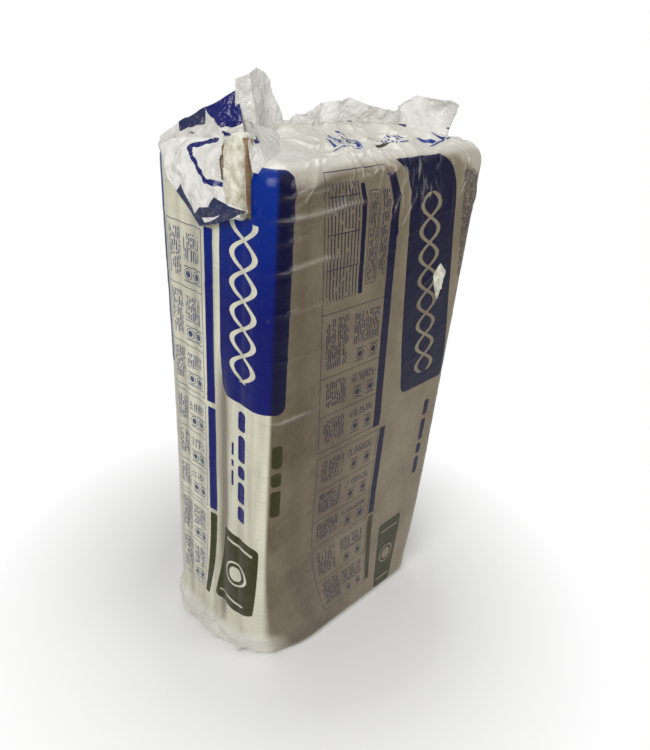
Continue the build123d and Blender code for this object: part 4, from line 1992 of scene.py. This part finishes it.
    def build(self, finishes: Finishes) -> None:
        """Builds the batts, then what shows of them in the tear and the rip.

        Args:
            finishes: the materials.
        """
        for number in range(1, BATT_COUNT + 1):
            wool = self.wool(number).build()
            dress(wool, finishes.wool, [f"batt_{number}_wool"])
            facing = self.kraft(number)
            kraft = facing.build()
            dress(kraft, finishes.kraft, [f"batt_{number}_kraft"])
            facing.flat_size()
        tufts = [(self.sprung(lobe), self.lobe_fill) for lobe in self.lobes]
        for tuft, fill in (*tufts, (self.rip_tuft(), self.tuft_fill)):
            piece = tuft.build()
            dress(piece, finishes.wool, [])
        for scrap in (self.torn_kraft(), self.inner_kraft()):
            piece = scrap.build()
            dress(piece, finishes.kraft, [])
            scrap.flat_size()


# Stage

@dataclass(frozen=True)
class PhotoView:
    """The photo's camera: where it stands, how it is turned, and its focal length in the photo's pixels."""

    azimuth: float = -46.45
    elevation: float = 31.08
    roll: float = 4.07
    distance: float = 1.54683
    target_z: float = 0.55422
    focal_px: float = 639.57
    centre_px: tuple[float, float] = (307.32, 413.47)
    frame_px: tuple[float, float] = (650.0, 750.0)
    sensor_mm: float = 36.0

    def build(self) -> None:
        """Makes the camera and sets it as the scene's."""
        az, el, roll = (math.radians(a) for a in (self.azimuth, self.elevation, self.roll))
        back = np.array([math.sin(az) * math.cos(el), -math.cos(az) * math.cos(el), math.sin(el)])
        level = np.array([math.cos(az), math.sin(az), 0.0])
        rise = np.cross(back, level)
        right = math.cos(roll) * level + math.sin(roll) * rise
        up = -math.sin(roll) * level + math.cos(roll) * rise
        eye = np.array([0.0, 0.0, self.target_z]) + back * self.distance
        data = bpy.data.cameras.new("photo_camera")
        long_side = max(self.frame_px)
        data.sensor_width = self.sensor_mm
        data.lens = self.focal_px / long_side * self.sensor_mm
        data.shift_x = (self.frame_px[0] / 2 - self.centre_px[0]) / long_side
        data.shift_y = (self.centre_px[1] - self.frame_px[1] / 2) / long_side
        camera = bpy.data.objects.new("photo_camera", data)
        place = np.eye(4)
        place[:3, 0], place[:3, 1], place[:3, 2], place[:3, 3] = right, up, back, eye
        camera.matrix_world = Matrix(place.tolist())
        bpy.context.scene.collection.objects.link(camera)
        bpy.context.scene.camera = camera


@dataclass(frozen=True)
class Lamp:
    """One soft area lamp: its place, aim, size and power."""

    name: str
    place: tuple[float, float, float]
    aim: tuple[float, float, float]
    size: float
    power: float

    def build(self) -> None:
        """Makes the lamp, turned to its aim."""
        data = bpy.data.lights.new(self.name, "AREA")
        data.size = self.size
        data.energy = self.power
        lamp = bpy.data.objects.new(self.name, data)
        back = np.asarray(self.place) - np.asarray(self.aim)
        back = back / np.linalg.norm(back)
        right = np.cross((0.0, 0.0, 1.0), back)
        right = right / np.linalg.norm(right)
        place = np.eye(4)
        up = np.cross(back, right)
        place[:3, 0], place[:3, 1], place[:3, 2], place[:3, 3] = right, up, back, self.place
        lamp.matrix_world = Matrix(place.tolist())
        bpy.context.scene.collection.objects.link(lamp)


@dataclass(frozen=True)
class Studio:
    """Pale floor, white surroundings and soft lamps."""

    floor_half: float = 9.0
    floor_tone: Colour = (0.88, 0.88, 0.87)
    lamps: tuple[Lamp, ...] = (
        Lamp("key_left", (-2.3, -0.9, 2.3), (0.0, 0.0, 0.7), 1.4, 46.0),
        Lamp("fill_front", (1.2, -2.7, 1.7), (0.0, 0.0, 0.6), 1.6, 25.0),
        Lamp("top_soft", (0.2, 0.5, 3.0), (0.0, 0.0, 1.1), 1.2, 10.0),
    )
    ambient: float = 0.42
    shadow_reach: tuple[float, float] = (0.40, 0.85)

    def floor(self) -> None:
        """Flat floor that keeps the object's shadow near it and is plain white to the camera further out."""
        half = self.floor_half
        places = np.asarray([(-half, -half, 0), (half, -half, 0), (half, half, 0), (-half, half, 0)], float)
        floor = make_piece("floor", places, np.asarray([[0, 1, 2, 3]]))
        n = Nodes("pale_floor")
        away = n.vector("LENGTH", n.object_place()).outputs["Value"]
        rays = n.add("ShaderNodeLightPath")
        seen = n.math("MULTIPLY", n.ramp(away, *self.shadow_reach), rays.outputs["Is Camera Ray"])
        matt = n.add("ShaderNodeBsdfDiffuse")
        matt.inputs[0].default_value = (*self.floor_tone, 1.0)
        white = n.add("ShaderNodeEmission")
        mixed = n.add("ShaderNodeMixShader")
        for socket, value in zip(mixed.inputs, (seen, matt.outputs[0], white.outputs[0])):
            n.plug(socket, value)
        n.plug(n.output.inputs[0], mixed.outputs[0])
        floor.data.materials.append(n.material)

    def surroundings(self) -> None:
        """World: plain soft light on the object, white where the camera sees it."""
        world = bpy.data.worlds.new("studio")
        world.use_nodes = True
        tree = world.node_tree
        tree.nodes.clear()
        rays = tree.nodes.new("ShaderNodeLightPath")
        mixed = tree.nodes.new("ShaderNodeMixShader")
        tree.links.new(mixed.inputs[0], rays.outputs["Is Camera Ray"])
        for socket, strength in zip(mixed.inputs[1:], (self.ambient, 1.0)):
            plain = tree.nodes.new("ShaderNodeBackground")
            plain.inputs[0].default_value = (1.0, 1.0, 1.0, 1.0)
            plain.inputs[1].default_value = strength
            tree.links.new(socket, plain.outputs[0])
        end = tree.nodes.new("ShaderNodeOutputWorld")
        tree.links.new(end.inputs[0], mixed.outputs[0])
        bpy.context.scene.world = world

    def build(self) -> None:
        """Makes the floor, the world, the lamps and the plain view transform."""
        self.floor()
        self.surroundings()
        for lamp in self.lamps:
            lamp.build()
        bpy.context.scene.view_settings.view_transform = "Standard"


def main() -> None:
    """Builds the stage, then the bundle from the inside out."""
    logging.basicConfig(level=logging.INFO, format="%(name)s: %(message)s")
    PhotoView().build()
    Studio().build()
    finishes = Finishes.build()
    FoldedBatts().build(finishes)
    FilmSleeve().build(finishes)
    LooseFilm().build(finishes)


if __name__ == "__main__":
    main()
